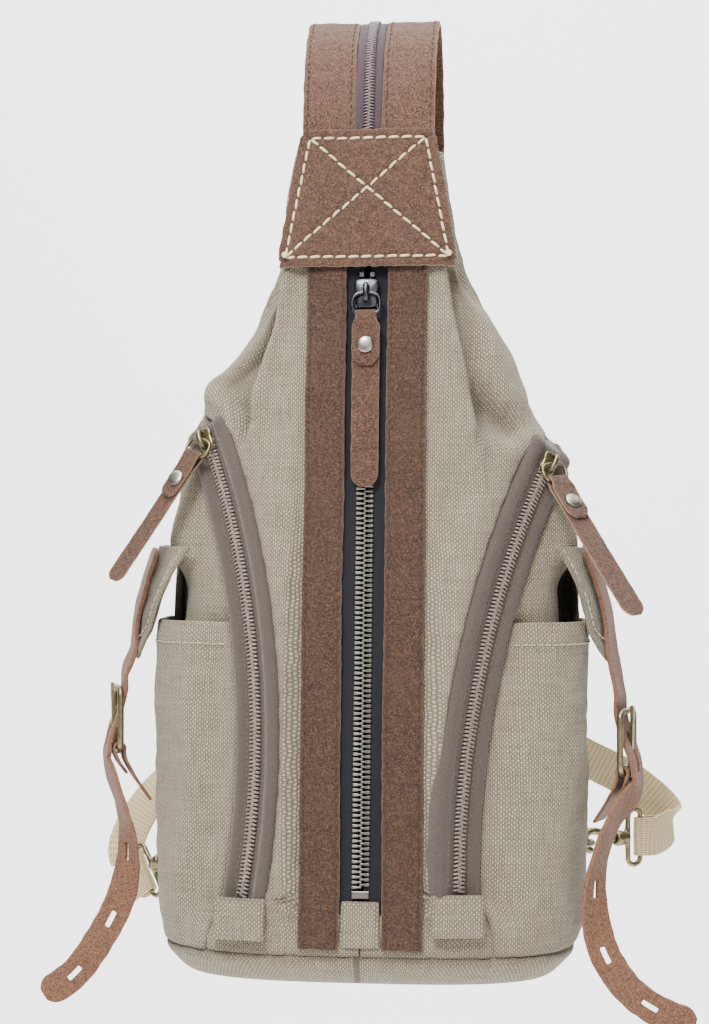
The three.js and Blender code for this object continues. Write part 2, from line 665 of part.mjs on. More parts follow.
function buildPocketZip(name) {
  const zip = POCKET_ZIPS[name];
  const frame = pocketFrames[name];
  const r = zip.radius;
  const tape = toManifold(sector(zip, r - TAPE_HALF, r + TAPE_HALF, zip.from, zip.to, -0.6, 0.6));
  const coil = toManifold(sector(zip, r - COIL_CHAIN.half, r + COIL_CHAIN.half,
    zip.from + 0.4, zip.to - 0.4, -COIL_CHAIN.thick, COIL_CHAIN.thick));
  const slot = toManifold(sector(zip, r - COIL_CHAIN.slot, r + COIL_CHAIN.slot,
    zip.from + 1, zip.to - 0.8, -4, 4));
  addPart(`pocket_zip_${name}`, tape.add(coil).subtract(slot), 'taupeTape', frame);

  const tab = extrudeOutline([[-10, -17], [10, -17], [7, -1.6], [-7, -1.6]], 1.6, 3.2);
  addPart(`pocket_zip_tab_${name}`, tab, 'canvas', skinFrame(zip, frame));

  const slider = new THREE.Group();
  const [x, y] = arcPoint(zip, r, zip.park);
  slider.position.set(x, y, 0);
  slider.rotation.z = THREE.MathUtils.degToRad(-zip.side * zip.park);
  frame.add(slider);
  addPart(`${name}_slider`, sliderBody(COIL_CHAIN, COIL_SLIDER, 0.6), 'brass', slider);
  hangPull(name, slider, COIL_CHAIN, {
    ringWidth: 13.2, ringHeight: 9, ringFinish: 'brass', ...PULL_POSE[name],
  });
}

// ---------------------------------------------------------------- side pocket flaps
const SIDES = {
  left: {
    side: -1, buckle: vec(-127, -10, 121),
    tail: [vec(-125, -19, 84), vec(-119.5, -23, 64), vec(-120, -27, 40), vec(-131, -31, 15),
      vec(-144, -34, -3), vec(-158, -37, -12.5)],
    slots: [0.36, 0.62, 0.86],
  },
  right: {
    side: 1, buckle: vec(126, -10, 112),
    tail: [vec(121, -22, 78), vec(113, -30, 60), vec(110, -36, 38), vec(114, -39, 16),
      vec(126, -41, -2), vec(141, -43, -12), vec(157, -45, -17)],
    slots: [0.4, 0.62, 0.84],
  },
};
const BUCKLE = { width: 24, height: 33, radius: 1.6, bar: 14.9, yaw: 0.35 };
const FLAP_THICK = 2.5;
const FLAP_FRONT = { left: { topY: -30, footY: -26 }, right: { topY: -27, footY: -24 } };

// The flap hangs from its seam and flares out to a rounded point. t runs from its front
// edge to its rear edge, s from the seam to the free edge.
function flapPoint(side, t, s) {
  const front = side < 0 ? FLAP_FRONT.left : FLAP_FRONT.right;
  const top = sidePoint(side, THREE.MathUtils.lerp(front.topY, 11, t ** 1.5), FLAP_SEAM_Z, 3.2);
  const tip = Math.sin(t * Math.PI);
  const foot = vec(side * (THREE.MathUtils.lerp(106, 113, t) + 7 * tip),
    THREE.MathUtils.lerp(front.footY, 9, t), 166 - 16 * tip);
  return top.lerp(foot, s).add(vec(side * 3 * Math.sin(s * Math.PI), 0, 0));
}

function flapNormal(side, t, s) {
  const step = 0.06;
  const clamp = (v) => THREE.MathUtils.clamp(v, 0, 1);
  const alongEdge = flapPoint(side, clamp(t + step), s).sub(flapPoint(side, clamp(t - step), s));
  const down = flapPoint(side, t, clamp(s + step)).sub(flapPoint(side, t, clamp(s - step)));
  return down.cross(alongEdge).multiplyScalar(side).normalize();
}

function flapLifted(side, t, s, lift) {
  return flapPoint(side, t, s).addScaledVector(flapNormal(side, t, s), lift);
}

function flapSolid(side) {
  const columns = 8;
  const rows = 5;
  const rings = [];
  for (let i = 0; i <= columns; i += 1) {
    const edge = (lift, s) => flapLifted(side, i / columns, s, lift);
    const outer = Array.from({ length: rows + 1 }, (_, k) => edge(FLAP_THICK / 2, k / rows));
    const inner = Array.from({ length: rows + 1 }, (_, k) => edge(-FLAP_THICK / 2, 1 - k / rows));
    rings.push([...outer, ...inner]);
  }
  return loftRings(side > 0 ? rings : rings.reverse());
}

function buckleFrame(spec) {
  const outward = vec(spec.side * Math.cos(BUCKLE.yaw), -Math.sin(BUCKLE.yaw), 0);
  const up = vec(0, 0, 1);
  const frame = new THREE.Group();
  frame.position.copy(spec.buckle);
  frame.setRotationFromMatrix(new THREE.Matrix4()
    .makeBasis(up.clone().cross(outward), up, outward));
  group.add(frame);
  frame.updateMatrixWorld(true);
  return frame;
}

function buildFlap(name) {
  const spec = SIDES[name];
  const { side } = spec;
  addPart(`flap_${name}`, flapSolid(side), 'canvas');

  const frame = buckleFrame(spec);
  const local = (y, z) => vec(0, y, z).applyMatrix4(frame.matrixWorld);
  const onFlap = [0.04, 0.3, 0.6, 0.9].map((s) => flapLifted(side, 0.5, s, 2.9));
  const through = [[22, -3.4], [14.9, -3.3], [8, -1.9], [0, 1], [-9, 4.2], [-14.9, 5.3],
    [-22, 5.5]].map(([y, z]) => local(y, z));
  const path = smoothPath([...onFlap, ...through, ...spec.tail], 72);
  const outward = vec(side * Math.cos(BUCKLE.yaw), -Math.sin(BUCKLE.yaw), 0);
  const seamFace = flapNormal(side, 0.5, 0.3);
  const tailFace = vec(-side * 0.15, -1, 0.1).normalize();
  const face = (t) => seamFace.clone().lerp(outward, ease(t, 0.12, 0.3))
    .lerp(tailFace, ease(t, 0.66, 0.9)).normalize();
  const width = (t) => SIDE_STRAP.width * (t > 0.985 ? 0.6 : 1);
  let strap = toManifold(ribbon(path, face, width, SIDE_STRAP.thick));
  strap = strap.subtract(placed(new THREE.BoxGeometry(4.6, 17.5, 14).translate(0, -4.8, 2),
    frame));
  const tailCurve = new THREE.CatmullRomCurve3([through.at(-1), ...spec.tail], false,
    'centripetal');
  for (const t of spec.slots) {
    const hole = new THREE.Group();
    hole.position.copy(tailCurve.getPointAt(t));
    const tangent = tailCurve.getTangentAt(t);
    const across = tangent.clone().cross(vec(-side * 0.15, -1, 0.1)).normalize();
    hole.setRotationFromMatrix(new THREE.Matrix4()
      .makeBasis(across, tangent, across.clone().cross(tangent)));
    hole.updateMatrixWorld(true);
    strap = strap.subtract(placed(new THREE.BoxGeometry(2, 9, 12), hole));
  }
  addPart(`flap_strap_${name}`, strap, 'strapLeather');

  const loop = roundedLoop(BUCKLE.width - 2 * BUCKLE.radius, 2 * BUCKLE.bar, 4);
  addPart(`buckle_frame_${name}`, wire(loop, vec(0, 0, 1), BUCKLE.radius, true), 'brass', frame);

  const eye = new THREE.LatheGeometry([[2, -1.4], [3.1, -1.4], [3.1, 1.4], [2, 1.4], [2, -1.4]]
    .map(([r, h]) => new THREE.Vector2(r, h)), 18).rotateZ(Math.PI / 2)
    .translate(0, -BUCKLE.bar, 0);
  const shank = foldedRibbon([[-12.9, 1.6], [-8, 2.3], [6, 2.6], [14.9, 2.95], [17.6, 2.8]]
    .map(([y, z]) => vec(0, y, z)), vec(1, 0, 0), 2.6, 1.6);
  addPart(`buckle_tongue_${name}`, toManifold(eye).add(toManifold(shank)), 'brass', frame);

  const fold = [];
  for (let k = 0; k <= 8; k += 1) {
    const a = THREE.MathUtils.degToRad(125 - 31.25 * k);
    fold.push([-BUCKLE.bar + 2.85 * Math.cos(a), 2.85 * Math.sin(a)]);
  }
  const anchor = side < 0 ? [-41, -15.8] : [-40, -14.6];
  const chapePath = [[-28, -4.2], [-22, 0.2], ...fold, [-21, -3.4], [-30, -8.4], anchor]
    .map(([y, z]) => vec(0, y, z));
  const chape = toManifold(foldedRibbon(chapePath, vec(1, 0, 0), 15, 1.5))
    .subtract(block(-2.4, 2.4, -21, -8, -8, 8));
  addPart(`chape_${name}`, chape, 'strapLeather', frame);
}

// ---------------------------------------------------------------- strap hardware
// A swivel snap hook drawn with y along it, from the ring it holds towards the webbing.
const HOOKS = {
  left: { side: -1, ring: vec(-106.2, 44.6, 48.8), towards: vec(-0.66, 0.5, -0.56) },
  right: { side: 1, ring: vec(107.3, 44.2, 54), towards: vec(0.82, 0.57, 0) },
};
const HOOK = {
  wire: 1.9, bowl: 5, bowlY: 3, barrel: 4, barrelY: 17.6, barrelEnd: 26,
  eyeWidth: 29, eyeHeight: 8, eyeWire: 1.3,
};
const D_RING = { wire: 1.3, half: 9.5, shoulderY: -9, reach: 10.7, barY: -12.4 };

function buildHook(name) {
  const spec = HOOKS[name];
  const along3 = spec.towards.clone().normalize();
  const sideways = vec(0, 0, 1).addScaledVector(along3, -along3.z).normalize();
  const frame = new THREE.Group();
  frame.position.copy(spec.ring);
  frame.setRotationFromMatrix(new THREE.Matrix4()
    .makeBasis(sideways, along3, sideways.clone().cross(along3)));
  group.add(frame);
  frame.updateMatrixWorld(true);

  // Snap hook: a bowl round the ring, closed by a sprung gate, on a stem in the barrel.
  const { bowl, bowlY, barrelY, barrelEnd } = HOOK;
  const bowlPath = [];
  for (let k = 0; k <= 12; k += 1) {
    const a = THREE.MathUtils.degToRad(180 + 15 * k);
    bowlPath.push(vec(bowl * Math.cos(a), bowlY + bowl * Math.sin(a), 0));
  }
  const hookPath = [...bowlPath, vec(4.6, bowlY + 4, 0), vec(2.6, bowlY + 8, 0),
    vec(0.6, bowlY + 10.5, 0), vec(0, bowlY + 12, 0)];
  const body = toManifold(wire(hookPath, vec(0, 0, 1), HOOK.wire, false));
  const stem = toManifold(cylinder(1.5, 8.6, 14).translate(0, barrelY + 1.6, 0));
  addPart(`hook_body_${name}`, body.add(stem), 'brass', frame);
  const gate = wire([vec(-bowl, bowlY + 1.5, 0), vec(-2.4, bowlY + 9.2, 0)], vec(0, 0, 1), 1.3,
    false);
  addPart(`hook_gate_${name}`, gate, 'brass', frame);

  const neck = barrelEnd - 3.4;
  const barrel = new THREE.LatheGeometry([[1.9, barrelY], [HOOK.barrel - 0.6, barrelY],
    [HOOK.barrel, barrelY + 0.8], [HOOK.barrel, neck - 1], [3.2, neck], [3.2, barrelEnd],
    [1.9, barrelEnd], [1.9, barrelY]].map(([r, h]) => new THREE.Vector2(r, h)), 20);
  const eyeLoop = roundedLoop(HOOK.eyeHeight, HOOK.eyeWidth, 3.6)
    .map((p) => vec(p.y, p.x + barrelEnd + HOOK.eyeHeight / 2, 0));
  const eye = toManifold(wire(eyeLoop, vec(0, 0, 1), HOOK.eyeWire, true));
  addPart(`hook_eye_${name}`, toManifold(barrel).add(eye), 'brass', frame);

  // D-ring across the hook's bowl, its straight bar held in a leather tab.
  const { half, shoulderY, reach, barY } = D_RING;
  const arc = [];
  for (let k = 0; k <= 12; k += 1) {
    const a = THREE.MathUtils.degToRad(15 * k);
    arc.push(vec(0, shoulderY + reach * Math.sin(a), half * Math.cos(a)));
  }
  const ringLoop = [...arc, vec(0, barY + 0.8, -half + 0.4), vec(0, barY, -half + 1.6),
    vec(0, barY, half - 1.6), vec(0, barY + 0.8, half - 0.4)];
  addPart(`d_ring_${name}`, wire(ringLoop, vec(1, 0, 0), D_RING.wire, true), 'brass', frame);
  const fold = [];
  for (let k = 0; k <= 6; k += 1) {
    const a = THREE.MathUtils.degToRad(90 - 30 * k);
    fold.push(vec(2.6 * Math.sin(a), barY + 2.6 * Math.cos(a), 0));
  }
  const tabEnd = barY - 3.6;
  const tabPath = [vec(2.6, tabEnd, 0), ...fold, vec(-2.6, tabEnd, 0)];
  addPart(`d_ring_tab_${name}`, foldedRibbon(tabPath, vec(0, 0, 1), 14, 1.4), 'strapLeather',
    frame);
  return frame;
}

function buildWebbing(name, frame) {
  const { side } = HOOKS[name];
  const local = (x, y, z) => vec(x, y, z).applyMatrix4(frame.matrixWorld);
  const eyeY = HOOK.barrelEnd + HOOK.eyeHeight;
  const fold = [];
  for (let k = 0; k <= 4; k += 1) {
    const a = THREE.MathUtils.degToRad(-90 + 45 * k);
    fold.push(local(0, eyeY - 2.7 * Math.cos(a), 2.7 * Math.sin(a)));
  }
  const start = vec(side * 20, 57.2, 212);
  const drop = side < 0
    ? [vec(-22, 59.5, 172), vec(-52, 68, 130), vec(-98, 80, 98), vec(-131, 84, 66),
      vec(-142, 76, 40)]
    : [vec(22, 59.5, 172), vec(52, 68, 128), vec(98, 78, 98), vec(134, 83, 78),
      vec(152, 79, 60)];
  const leaveEye = [local(0, eyeY + 8, -3.2)];
  const stub = [local(0, eyeY + 7, 2.9), local(0, eyeY + 15, 2.4)];
  const path = smoothPath([start, ...drop, ...leaveEye, ...fold, ...stub], 64);
  const eyeAcross = local(1, 0, 0).sub(local(0, 0, 0));
  const straight = vec(1, 0, 0);
  const acrossAt = (t) => straight.clone().lerp(eyeAcross, ease(t, 0.1, 0.4)).normalize();
  const rings = path.map((p, i) => {
    const tangent = pathTangent(path, i);
    const across = acrossAt(i / (path.length - 1));
    across.addScaledVector(tangent, -across.dot(tangent)).normalize();
    return bandSection(p, across, tangent, WEBBING.width, WEBBING.thick);
  });
  addPart(`webbing_${name}`, loftRings(rings), 'webbing');
}

buildBody();
buildInside();
buildFrontZip();
buildTrim();
buildStrap();
for (const name of ['left', 'right']) {
  buildPocketZip(name);
  buildFlap(name);
  buildWebbing(name, buildHook(name));
}

export default group;
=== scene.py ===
# Sling bag: the visual model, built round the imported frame. Lengths are in millimetres until
# a mesh is made, which is in metres. Left and right are as seen from the front.
import json
import math
import random

import bpy
import numpy as np
from mathutils import Matrix, Vector


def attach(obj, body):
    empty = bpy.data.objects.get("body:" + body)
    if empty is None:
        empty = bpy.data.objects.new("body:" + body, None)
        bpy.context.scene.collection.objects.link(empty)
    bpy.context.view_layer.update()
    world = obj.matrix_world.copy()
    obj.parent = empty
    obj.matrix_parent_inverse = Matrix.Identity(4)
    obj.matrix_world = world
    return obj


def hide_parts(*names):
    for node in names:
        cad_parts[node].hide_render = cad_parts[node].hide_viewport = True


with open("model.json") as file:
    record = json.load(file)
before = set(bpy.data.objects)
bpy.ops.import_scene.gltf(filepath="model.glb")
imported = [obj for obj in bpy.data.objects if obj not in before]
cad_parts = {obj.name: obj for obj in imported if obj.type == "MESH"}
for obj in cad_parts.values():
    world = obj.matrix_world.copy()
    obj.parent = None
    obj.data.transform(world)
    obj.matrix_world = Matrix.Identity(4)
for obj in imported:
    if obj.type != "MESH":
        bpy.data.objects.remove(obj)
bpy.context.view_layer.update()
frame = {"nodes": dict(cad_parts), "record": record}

MM = 0.001
SIDE = {"left": -1, "right": 1}
random.seed(11)

# ------------------------------------------------------------------ dimensions of the frame
SEAM_Z, RIM_Z, FLAP_SEAM_Z, NECK_Z = 14.0, 172.0, 207.0, 402.0
LEAN = math.radians(6.6)      # how far the front face leans back
MIDDLE_Z = 200.0              # height of the front face's own origin
FRONT_FOOT = 61.6             # depth of the front face at the base's seam
BACK_SEAM = 0.105             # how far the back seams lean forward
TAPE_HALF = 12.2              # half the width of a pocket zipper's tape
STATIONS = {
    "z": [0, 14, 40, 95, 150, 200, 240, 280, 310, 347, 402],
    "half": [90, 101, 105.5, 107, 107, 103, 93, 77, 64, 46, 36],
    "back": [38, 49, 50.5, 48.5, 46, 42, 37, 29, 20, 10, -3],
    "power": [3, 3, 3, 3, 3, 3, 3, 3, 3.6, 6, 6],
}
ZIPS = {
    "left": dict(side=-1, centre=(-370, 125, 92), radius=365, turn=60.9, tilt=-5.3,
                 start=-8.6, end=29.6, park=27.4),
    "right": dict(side=1, centre=(386, 187, 39), radius=418, turn=54.4, tilt=-2.1,
                  start=0.3, end=32.0, park=29.9),
}


def vec(*c):
    return np.array(c, float)


def unit(v):
    """Vectors made one long."""
    v = np.asarray(v, float)
    return v / np.maximum(np.linalg.norm(v, axis=-1, keepdims=True), 1e-12)


def ease(x, low, high):
    """A smooth step, from 0 at low to 1 at high."""
    t = np.clip((np.asarray(x, float) - low) / (high - low), 0, 1)
    return t * t * (3 - 2 * t)


def lerp(a, b, t):
    return a + (b - a) * t


def path_length(path):
    """Distance along a path to each of its points."""
    return np.concatenate([[0], np.cumsum(np.linalg.norm(np.diff(path, axis=0), axis=1))])


def reach(p, column):
    """Distance along each row of a grid of points from its first or last column."""
    steps = np.linalg.norm(np.diff(p, axis=1), axis=2)
    way = np.concatenate([np.zeros((len(p), 1)), np.cumsum(steps, axis=1)], 1)
    return way if column == 0 else way[:, -1:] - way


def resample(path, count=None, step=None):
    """A path at even steps: count points of it, or steps about as long as step."""
    path = np.asarray(path, float)
    way = path_length(path)
    if count is None:
        count = max(2, int(round(way[-1] / step)) + 1)
    at = np.linspace(0, way[-1], count)
    return np.stack([np.interp(at, way, path[:, k]) for k in range(path.shape[1])], -1)


def smoothed(path, times):
    """A path with its corners rounded off, in place."""
    for _ in range(times):
        path[1:-1] = (path[:-2] + 2 * path[1:-1] + path[2:]) / 4
    return path


def evenly(path, directions, step):
    """A path and a direction at each of its points, at even steps along the path."""
    both = resample(np.concatenate([path, np.broadcast_to(directions, path.shape) * 1e-6], 1),
                    step=step)
    return both[:, :3], unit(both[:, 3:])


def station(key, z):
    """A measure of the body's outline at height z, on a smooth curve through its stations."""
    zs, vs = np.array(STATIONS["z"], float), np.array(STATIONS[key], float)
    z = np.asarray(z, float)
    i = np.clip(np.searchsorted(zs, z, side="right") - 1, 0, len(zs) - 2)

    def slope(k):
        low, high = np.maximum(k - 1, 0), np.minimum(k + 1, len(zs) - 1)
        return (vs[high] - vs[low]) / (zs[high] - zs[low])
    span = zs[i + 1] - zs[i]
    t = (z - zs[i]) / span
    h = 3 * t * t - 2 * t ** 3
    return (vs[i] * (1 - h) + vs[i + 1] * h
            + span * slope(i) * t * (1 - t) ** 2 - span * slope(i + 1) * t * t * (1 - t))


def front_depth(z):
    """How far the front face stands in front of the origin at height z."""
    tuck = np.maximum(0, SEAM_Z - z) / SEAM_Z
    return FRONT_FOOT - (z - SEAM_Z) * math.tan(LEAN) - 10 * tuck * tuck


def seam_y(z):
    """How far back the back seams are at height z."""
    return 34 - (z - 10) * math.tan(BACK_SEAM)


def along(z):
    """Distance up the front face from its origin to height z."""
    return (z - MIDDLE_Z) / math.cos(LEAN)


def on_front(x, y, out):
    """A point in the frame of the front face: x across, y up it, out away from it."""
    x, y, out = np.broadcast_arrays(*(np.asarray(v, float) for v in (x, y, out)))
    return np.stack([x, -front_depth(MIDDLE_Z) + y * math.sin(LEAN) - out * math.cos(LEAN),
                     MIDDLE_Z + y * math.cos(LEAN) + out * math.sin(LEAN)], -1)


FACE_OUT = -vec(0, math.cos(LEAN), -math.sin(LEAN))      # away from the front face


def zip_axes(zp):
    """A pocket zipper's plane: across it, up along it and outward from it."""
    turn, tilt = math.radians(zp["turn"]), math.radians(zp["tilt"])
    axis = vec(-zp["side"] * math.cos(turn) * math.cos(tilt), math.sin(turn) * math.cos(tilt),
               math.sin(tilt))
    up = unit(vec(0, 0, 1) - axis * axis[2])
    return unit(np.cross(up, -axis)), up, -axis


def on_zip(zp, radius, degrees, out):
    """Points at a radius and angle about the zipper's arc centre, out from its plane."""
    across, up, outward = zip_axes(zp)
    a = np.radians(np.asarray(degrees, float))
    x, y, out = np.broadcast_arrays(-zp["side"] * radius * np.cos(a), radius * np.sin(a), out)
    return vec(*zp["centre"]) + x[..., None] * across + y[..., None] * up + out[..., None] * outward


def zip_distance(zp, p):
    """How far points are from the axis that the zipper's arc turns about."""
    across, up, _ = zip_axes(zp)
    d = p - vec(*zp["centre"])
    return np.hypot(d @ across, d @ up)


# ------------------------------------------------------------------ meshes
def make(name, verts, faces, materials, uv=None, attributes=None, smooth=True):
    """An object made of a mesh, whose points and cloth coordinates are in millimetres."""
    mesh = bpy.data.meshes.new(name)
    mesh.from_pydata((np.asarray(verts) * MM).tolist(), [], [tuple(map(int, f)) for f in faces])
    if uv is not None:
        layer = mesh.uv_layers.new(name="cloth")
        loops = np.zeros(len(mesh.loops), np.int32)
        mesh.loops.foreach_get("vertex_index", loops)
        layer.data.foreach_set("uv", (np.asarray(uv)[loops] * MM).ravel())
    for key, values in (attributes or {}).items():
        a = mesh.attributes.new(key, "FLOAT", "POINT")
        a.data.foreach_set("value", np.asarray(values, float).ravel())
    mesh.polygons.foreach_set("use_smooth", [smooth] * len(mesh.polygons))
    mesh.update()
    obj = bpy.data.objects.new(name, mesh)
    bpy.context.scene.collection.objects.link(obj)
    for m in materials if isinstance(materials, (list, tuple)) else [materials]:
        mesh.materials.append(m)
    return obj


def grid_faces(n, m, flip=False, wrap=False, skip=None):
    """Quads over n rows of m points. wrap joins the last column to the first."""
    i, j = np.meshgrid(np.arange(n - 1), np.arange(m if wrap else m - 1), indexing="ij")
    if skip is not None:
        keep = ~skip
        i, j = i[keep], j[keep]
    k = (j + 1) % m
    f = np.stack([i * m + j, i * m + k, (i + 1) * m + k, (i + 1) * m + j], -1).reshape(-1, 4)
    return f[:, ::-1] if flip else f


def sheet(name, p, materials, uv, edge=None, flip=False, wrap=False, skip=None):
    """A grid of points as a mesh. uv places it on the cloth; edge is 1 where it is cut or sewn, and
    also holds painted shade in folds.
    """
    return make(name, p.reshape(-1, 3), grid_faces(*p.shape[:2], flip, wrap, skip), materials,
                np.reshape(uv, (-1, 2)), None if edge is None else {"edge": edge})


def thicken(obj, thick, offset=-1.0, rim=0, soften=1):
    """Gives a surface its thickness, softens its edges and applies both."""
    m = obj.modifiers.new("thickness", "SOLIDIFY")
    m.thickness = thick * MM
    m.offset = offset
    m.use_rim = True
    m.use_quality_normals = True
    m.material_offset_rim = rim
    if soften:
        s = obj.modifiers.new("soften", "SUBSURF")
        s.levels = s.render_levels = soften
    apply(obj)
    return obj


def apply(obj):
    """Replaces an object's mesh by the mesh that its modifiers make."""
    graph = bpy.context.evaluated_depsgraph_get()
    mesh = bpy.data.meshes.new_from_object(obj.evaluated_get(graph), depsgraph=graph)
    obj.modifiers.clear()
    old = obj.data
    obj.data = mesh
    mesh.name = old.name
    bpy.data.meshes.remove(old)


def settle(obj, body, slot, *nodes):
    """Gives a piece its body, and hides the CAD nodes that it replaces. The slot argument is not
    used.
    """
    if nodes:
        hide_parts(*nodes)
    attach(obj, body)
    return obj


def surface_normals(p):
    """The normal at each point of a grid of points."""
    du = np.gradient(p, axis=1)
    dv = np.gradient(p, axis=0)
    return unit(np.cross(du, dv))


def waves(x, y, seed, scale, octaves=3):
    """Smooth seeded noise, about -1 to 1, with features about as big as scale."""
    r = np.random.default_rng(seed)
    total, amount = 0, 1.0
    x, y = np.asarray(x, float), np.asarray(y, float)
    for _ in range(octaves):
        part = 0
        for _ in range(5):
            angle, phase = r.uniform(0, 2 * np.pi, 2)
            k = 2 * np.pi / (scale * r.uniform(0.7, 1.6))
            part = part + np.sin(k * (x * np.cos(angle) + y * np.sin(angle)) + phase)
        total = total + part / 3 * amount
        amount *= 0.5
        scale *= 0.5
    return total


# ------------------------------------------------------------------ materials
class Nodes:
    """A short way to write a node tree: each call adds a node and gives its output."""

    def __init__(self, name):
        self.material = bpy.data.materials.new(name)
        self.material.use_nodes = True
        self.tree = self.material.node_tree
        self.bsdf = self.tree.nodes["Principled BSDF"]

    def add(self, kind, inputs=(), **settings):
        node = self.tree.nodes.new(kind)
        for key, value in settings.items():
            setattr(node, key, value)
        for key, value in dict(inputs).items():
            self.put(node.inputs[key], value)
        return node

    def put(self, socket, value):
        if isinstance(value, bpy.types.NodeSocket):
            self.tree.links.new(value, socket)
        else:
            socket.default_value = value

    def math(self, operation, a, b=0.0, c=None):
        values = {0: a, 1: b} if c is None else {0: a, 1: b, 2: c}
        return self.add("ShaderNodeMath", values, operation=operation).outputs[0]

    def noise(self, vector, scale, detail=3.0, rough=0.55, distort=0.0):
        return self.add("ShaderNodeTexNoise", {"Vector": vector, "Scale": scale, "Detail": detail,
                        "Roughness": rough, "Distortion": distort}).outputs["Fac"]

    def stretch(self, vector, scale):
        return self.add("ShaderNodeMapping", {"Vector": vector, "Scale": scale}).outputs[0]

    def ramp(self, value, *stops):
        node = self.add("ShaderNodeValToRGB", {"Fac": value})
        band = node.color_ramp
        while len(band.elements) < len(stops):
            band.elements.new(0.5)
        for element, (place, color) in zip(band.elements, stops):
            element.position = place
            element.color = (*rgb(color), 1) if isinstance(color, str) else (color,) * 3 + (1,)
        return node.outputs[0]

    def mix(self, amount, a, b, kind="MIX"):
        node = self.add("ShaderNodeMix", data_type="RGBA", blend_type=kind)
        self.put(node.inputs[0], amount)
        for socket, value in ((node.inputs[6], a), (node.inputs[7], b)):
            if isinstance(value, str):
                value = (*rgb(value), 1)
            elif isinstance(value, float):
                value = (value,) * 3 + (1,)
            self.put(socket, value)
        return node.outputs[2]

    def attribute(self, name):
        return self.add("ShaderNodeAttribute", attribute_name=name).outputs["Fac"]

    def bump(self, height, distance, strength=1.0, normal=None):
        inputs = {"Height": height, "Distance": distance * MM, "Strength": strength}
        if normal is not None:
            inputs["Normal"] = normal
        return self.add("ShaderNodeBump", inputs).outputs[0]

    def finish(self, **values):
        for key, value in values.items():
            self.put(self.bsdf.inputs[key.replace("_", " ")], value)
        return self.material

    @property
    def place(self):
        return self.add("ShaderNodeTexCoord").outputs["Object"]

    @property
    def uv(self):
        return self.add("ShaderNodeUVMap", uv_map="cloth").outputs[0]


def rgb(text):
    c = [int(text[i:i + 2], 16) / 255 for i in (1, 3, 5)]
    return tuple(v / 12.92 if v < 0.04045 else ((v + 0.055) / 1.055) ** 2.4 for v in c)


def weave_height(n, uv, pitch):
    """Plain weave: plump threads one way arch over flatter, sunken threads the other way."""
    parts = n.add("ShaderNodeSeparateXYZ", {0: uv})
    u = n.math("MULTIPLY", parts.outputs[0], 1000 / pitch)
    v = n.math("MULTIPLY", parts.outputs[1], 1000 / pitch)

    def strand(across, lengthwise, turn):
        row = n.math("ROUND", across)
        round_ = n.math("ABSOLUTE", n.math("COSINE", n.math("MULTIPLY", across, math.pi)))
        phase = n.math("ADD", n.math("ADD", lengthwise, row), turn)
        over = n.math("COSINE", n.math("MULTIPLY", phase, math.pi))
        over = n.math("MULTIPLY_ADD", over, 0.5, 0.5)
        return n.math("MULTIPLY", n.math("POWER", round_, 0.7), over)
    return n.math("MAXIMUM", strand(u, v, 0.0), n.math("MULTIPLY", strand(v, u, 1.0), 0.45))


def canvas_material(name, light, dark, pale, shadow, grime_and_fold_shade, pitch=1.05):
    """Woven canvas, with slubs, soiled places, a darker tone near the seams and painted shade in
    the folds' valleys.
    """
    n = Nodes(name)
    uv = n.uv
    shifted = n.add("ShaderNodeVectorMath", {0: uv, 1: n.add("ShaderNodeVectorMath", {
        0: n.add("ShaderNodeCombineXYZ", {0: n.noise(uv, 150.0, 1.0), 1: n.noise(uv, 190.0, 1.0)}
                 ).outputs[0], 1: (0.0012, 0.0012, 0.0)}, operation="MULTIPLY").outputs[0]},
        operation="ADD").outputs[0]
    height = weave_height(n, shifted, pitch)
    warp = n.noise(n.stretch(uv, (900, 60, 1)), 1.0, 2.0)
    weft = n.noise(n.stretch(uv, (60, 900, 1)), 1.0, 2.0)
    slub = n.math("MULTIPLY", n.math("ADD", warp, weft), 0.5)
    color = n.ramp(slub, (0.3, dark), (0.5, light), (0.72, pale))
    shade = n.math("MULTIPLY_ADD", height, 1.3, 0.04)
    grey = n.add("ShaderNodeCombineColor", {0: shade, 1: shade, 2: shade}).outputs[0]
    color = n.mix(1.0, color, grey, "MULTIPLY")
    broad = n.noise(n.place, 14.0, 4.0)
    color = n.mix(n.ramp(broad, (0.35, 0.0), (0.75, 0.25)), color, shadow)
    # The edge attribute darkens the colour near seams, and in the front panels' fold valleys as
    # painted shade.
    color = n.mix(n.math("MULTIPLY", n.attribute("edge"), 0.4), color, grime_and_fold_shade)
    bump = n.bump(height, 0.5, 1.0)
    bump = n.bump(n.noise(n.place, 2600.0, 4.0), 0.1, 0.6, bump)
    bump = n.bump(n.noise(n.place, 85.0, 3.0), 0.8, 0.4, bump)
    return n.finish(Base_Color=color, Roughness=0.93, Normal=bump, Sheen_Weight=0.12,
                    Sheen_Roughness=0.6, Specular_IOR_Level=0.2)


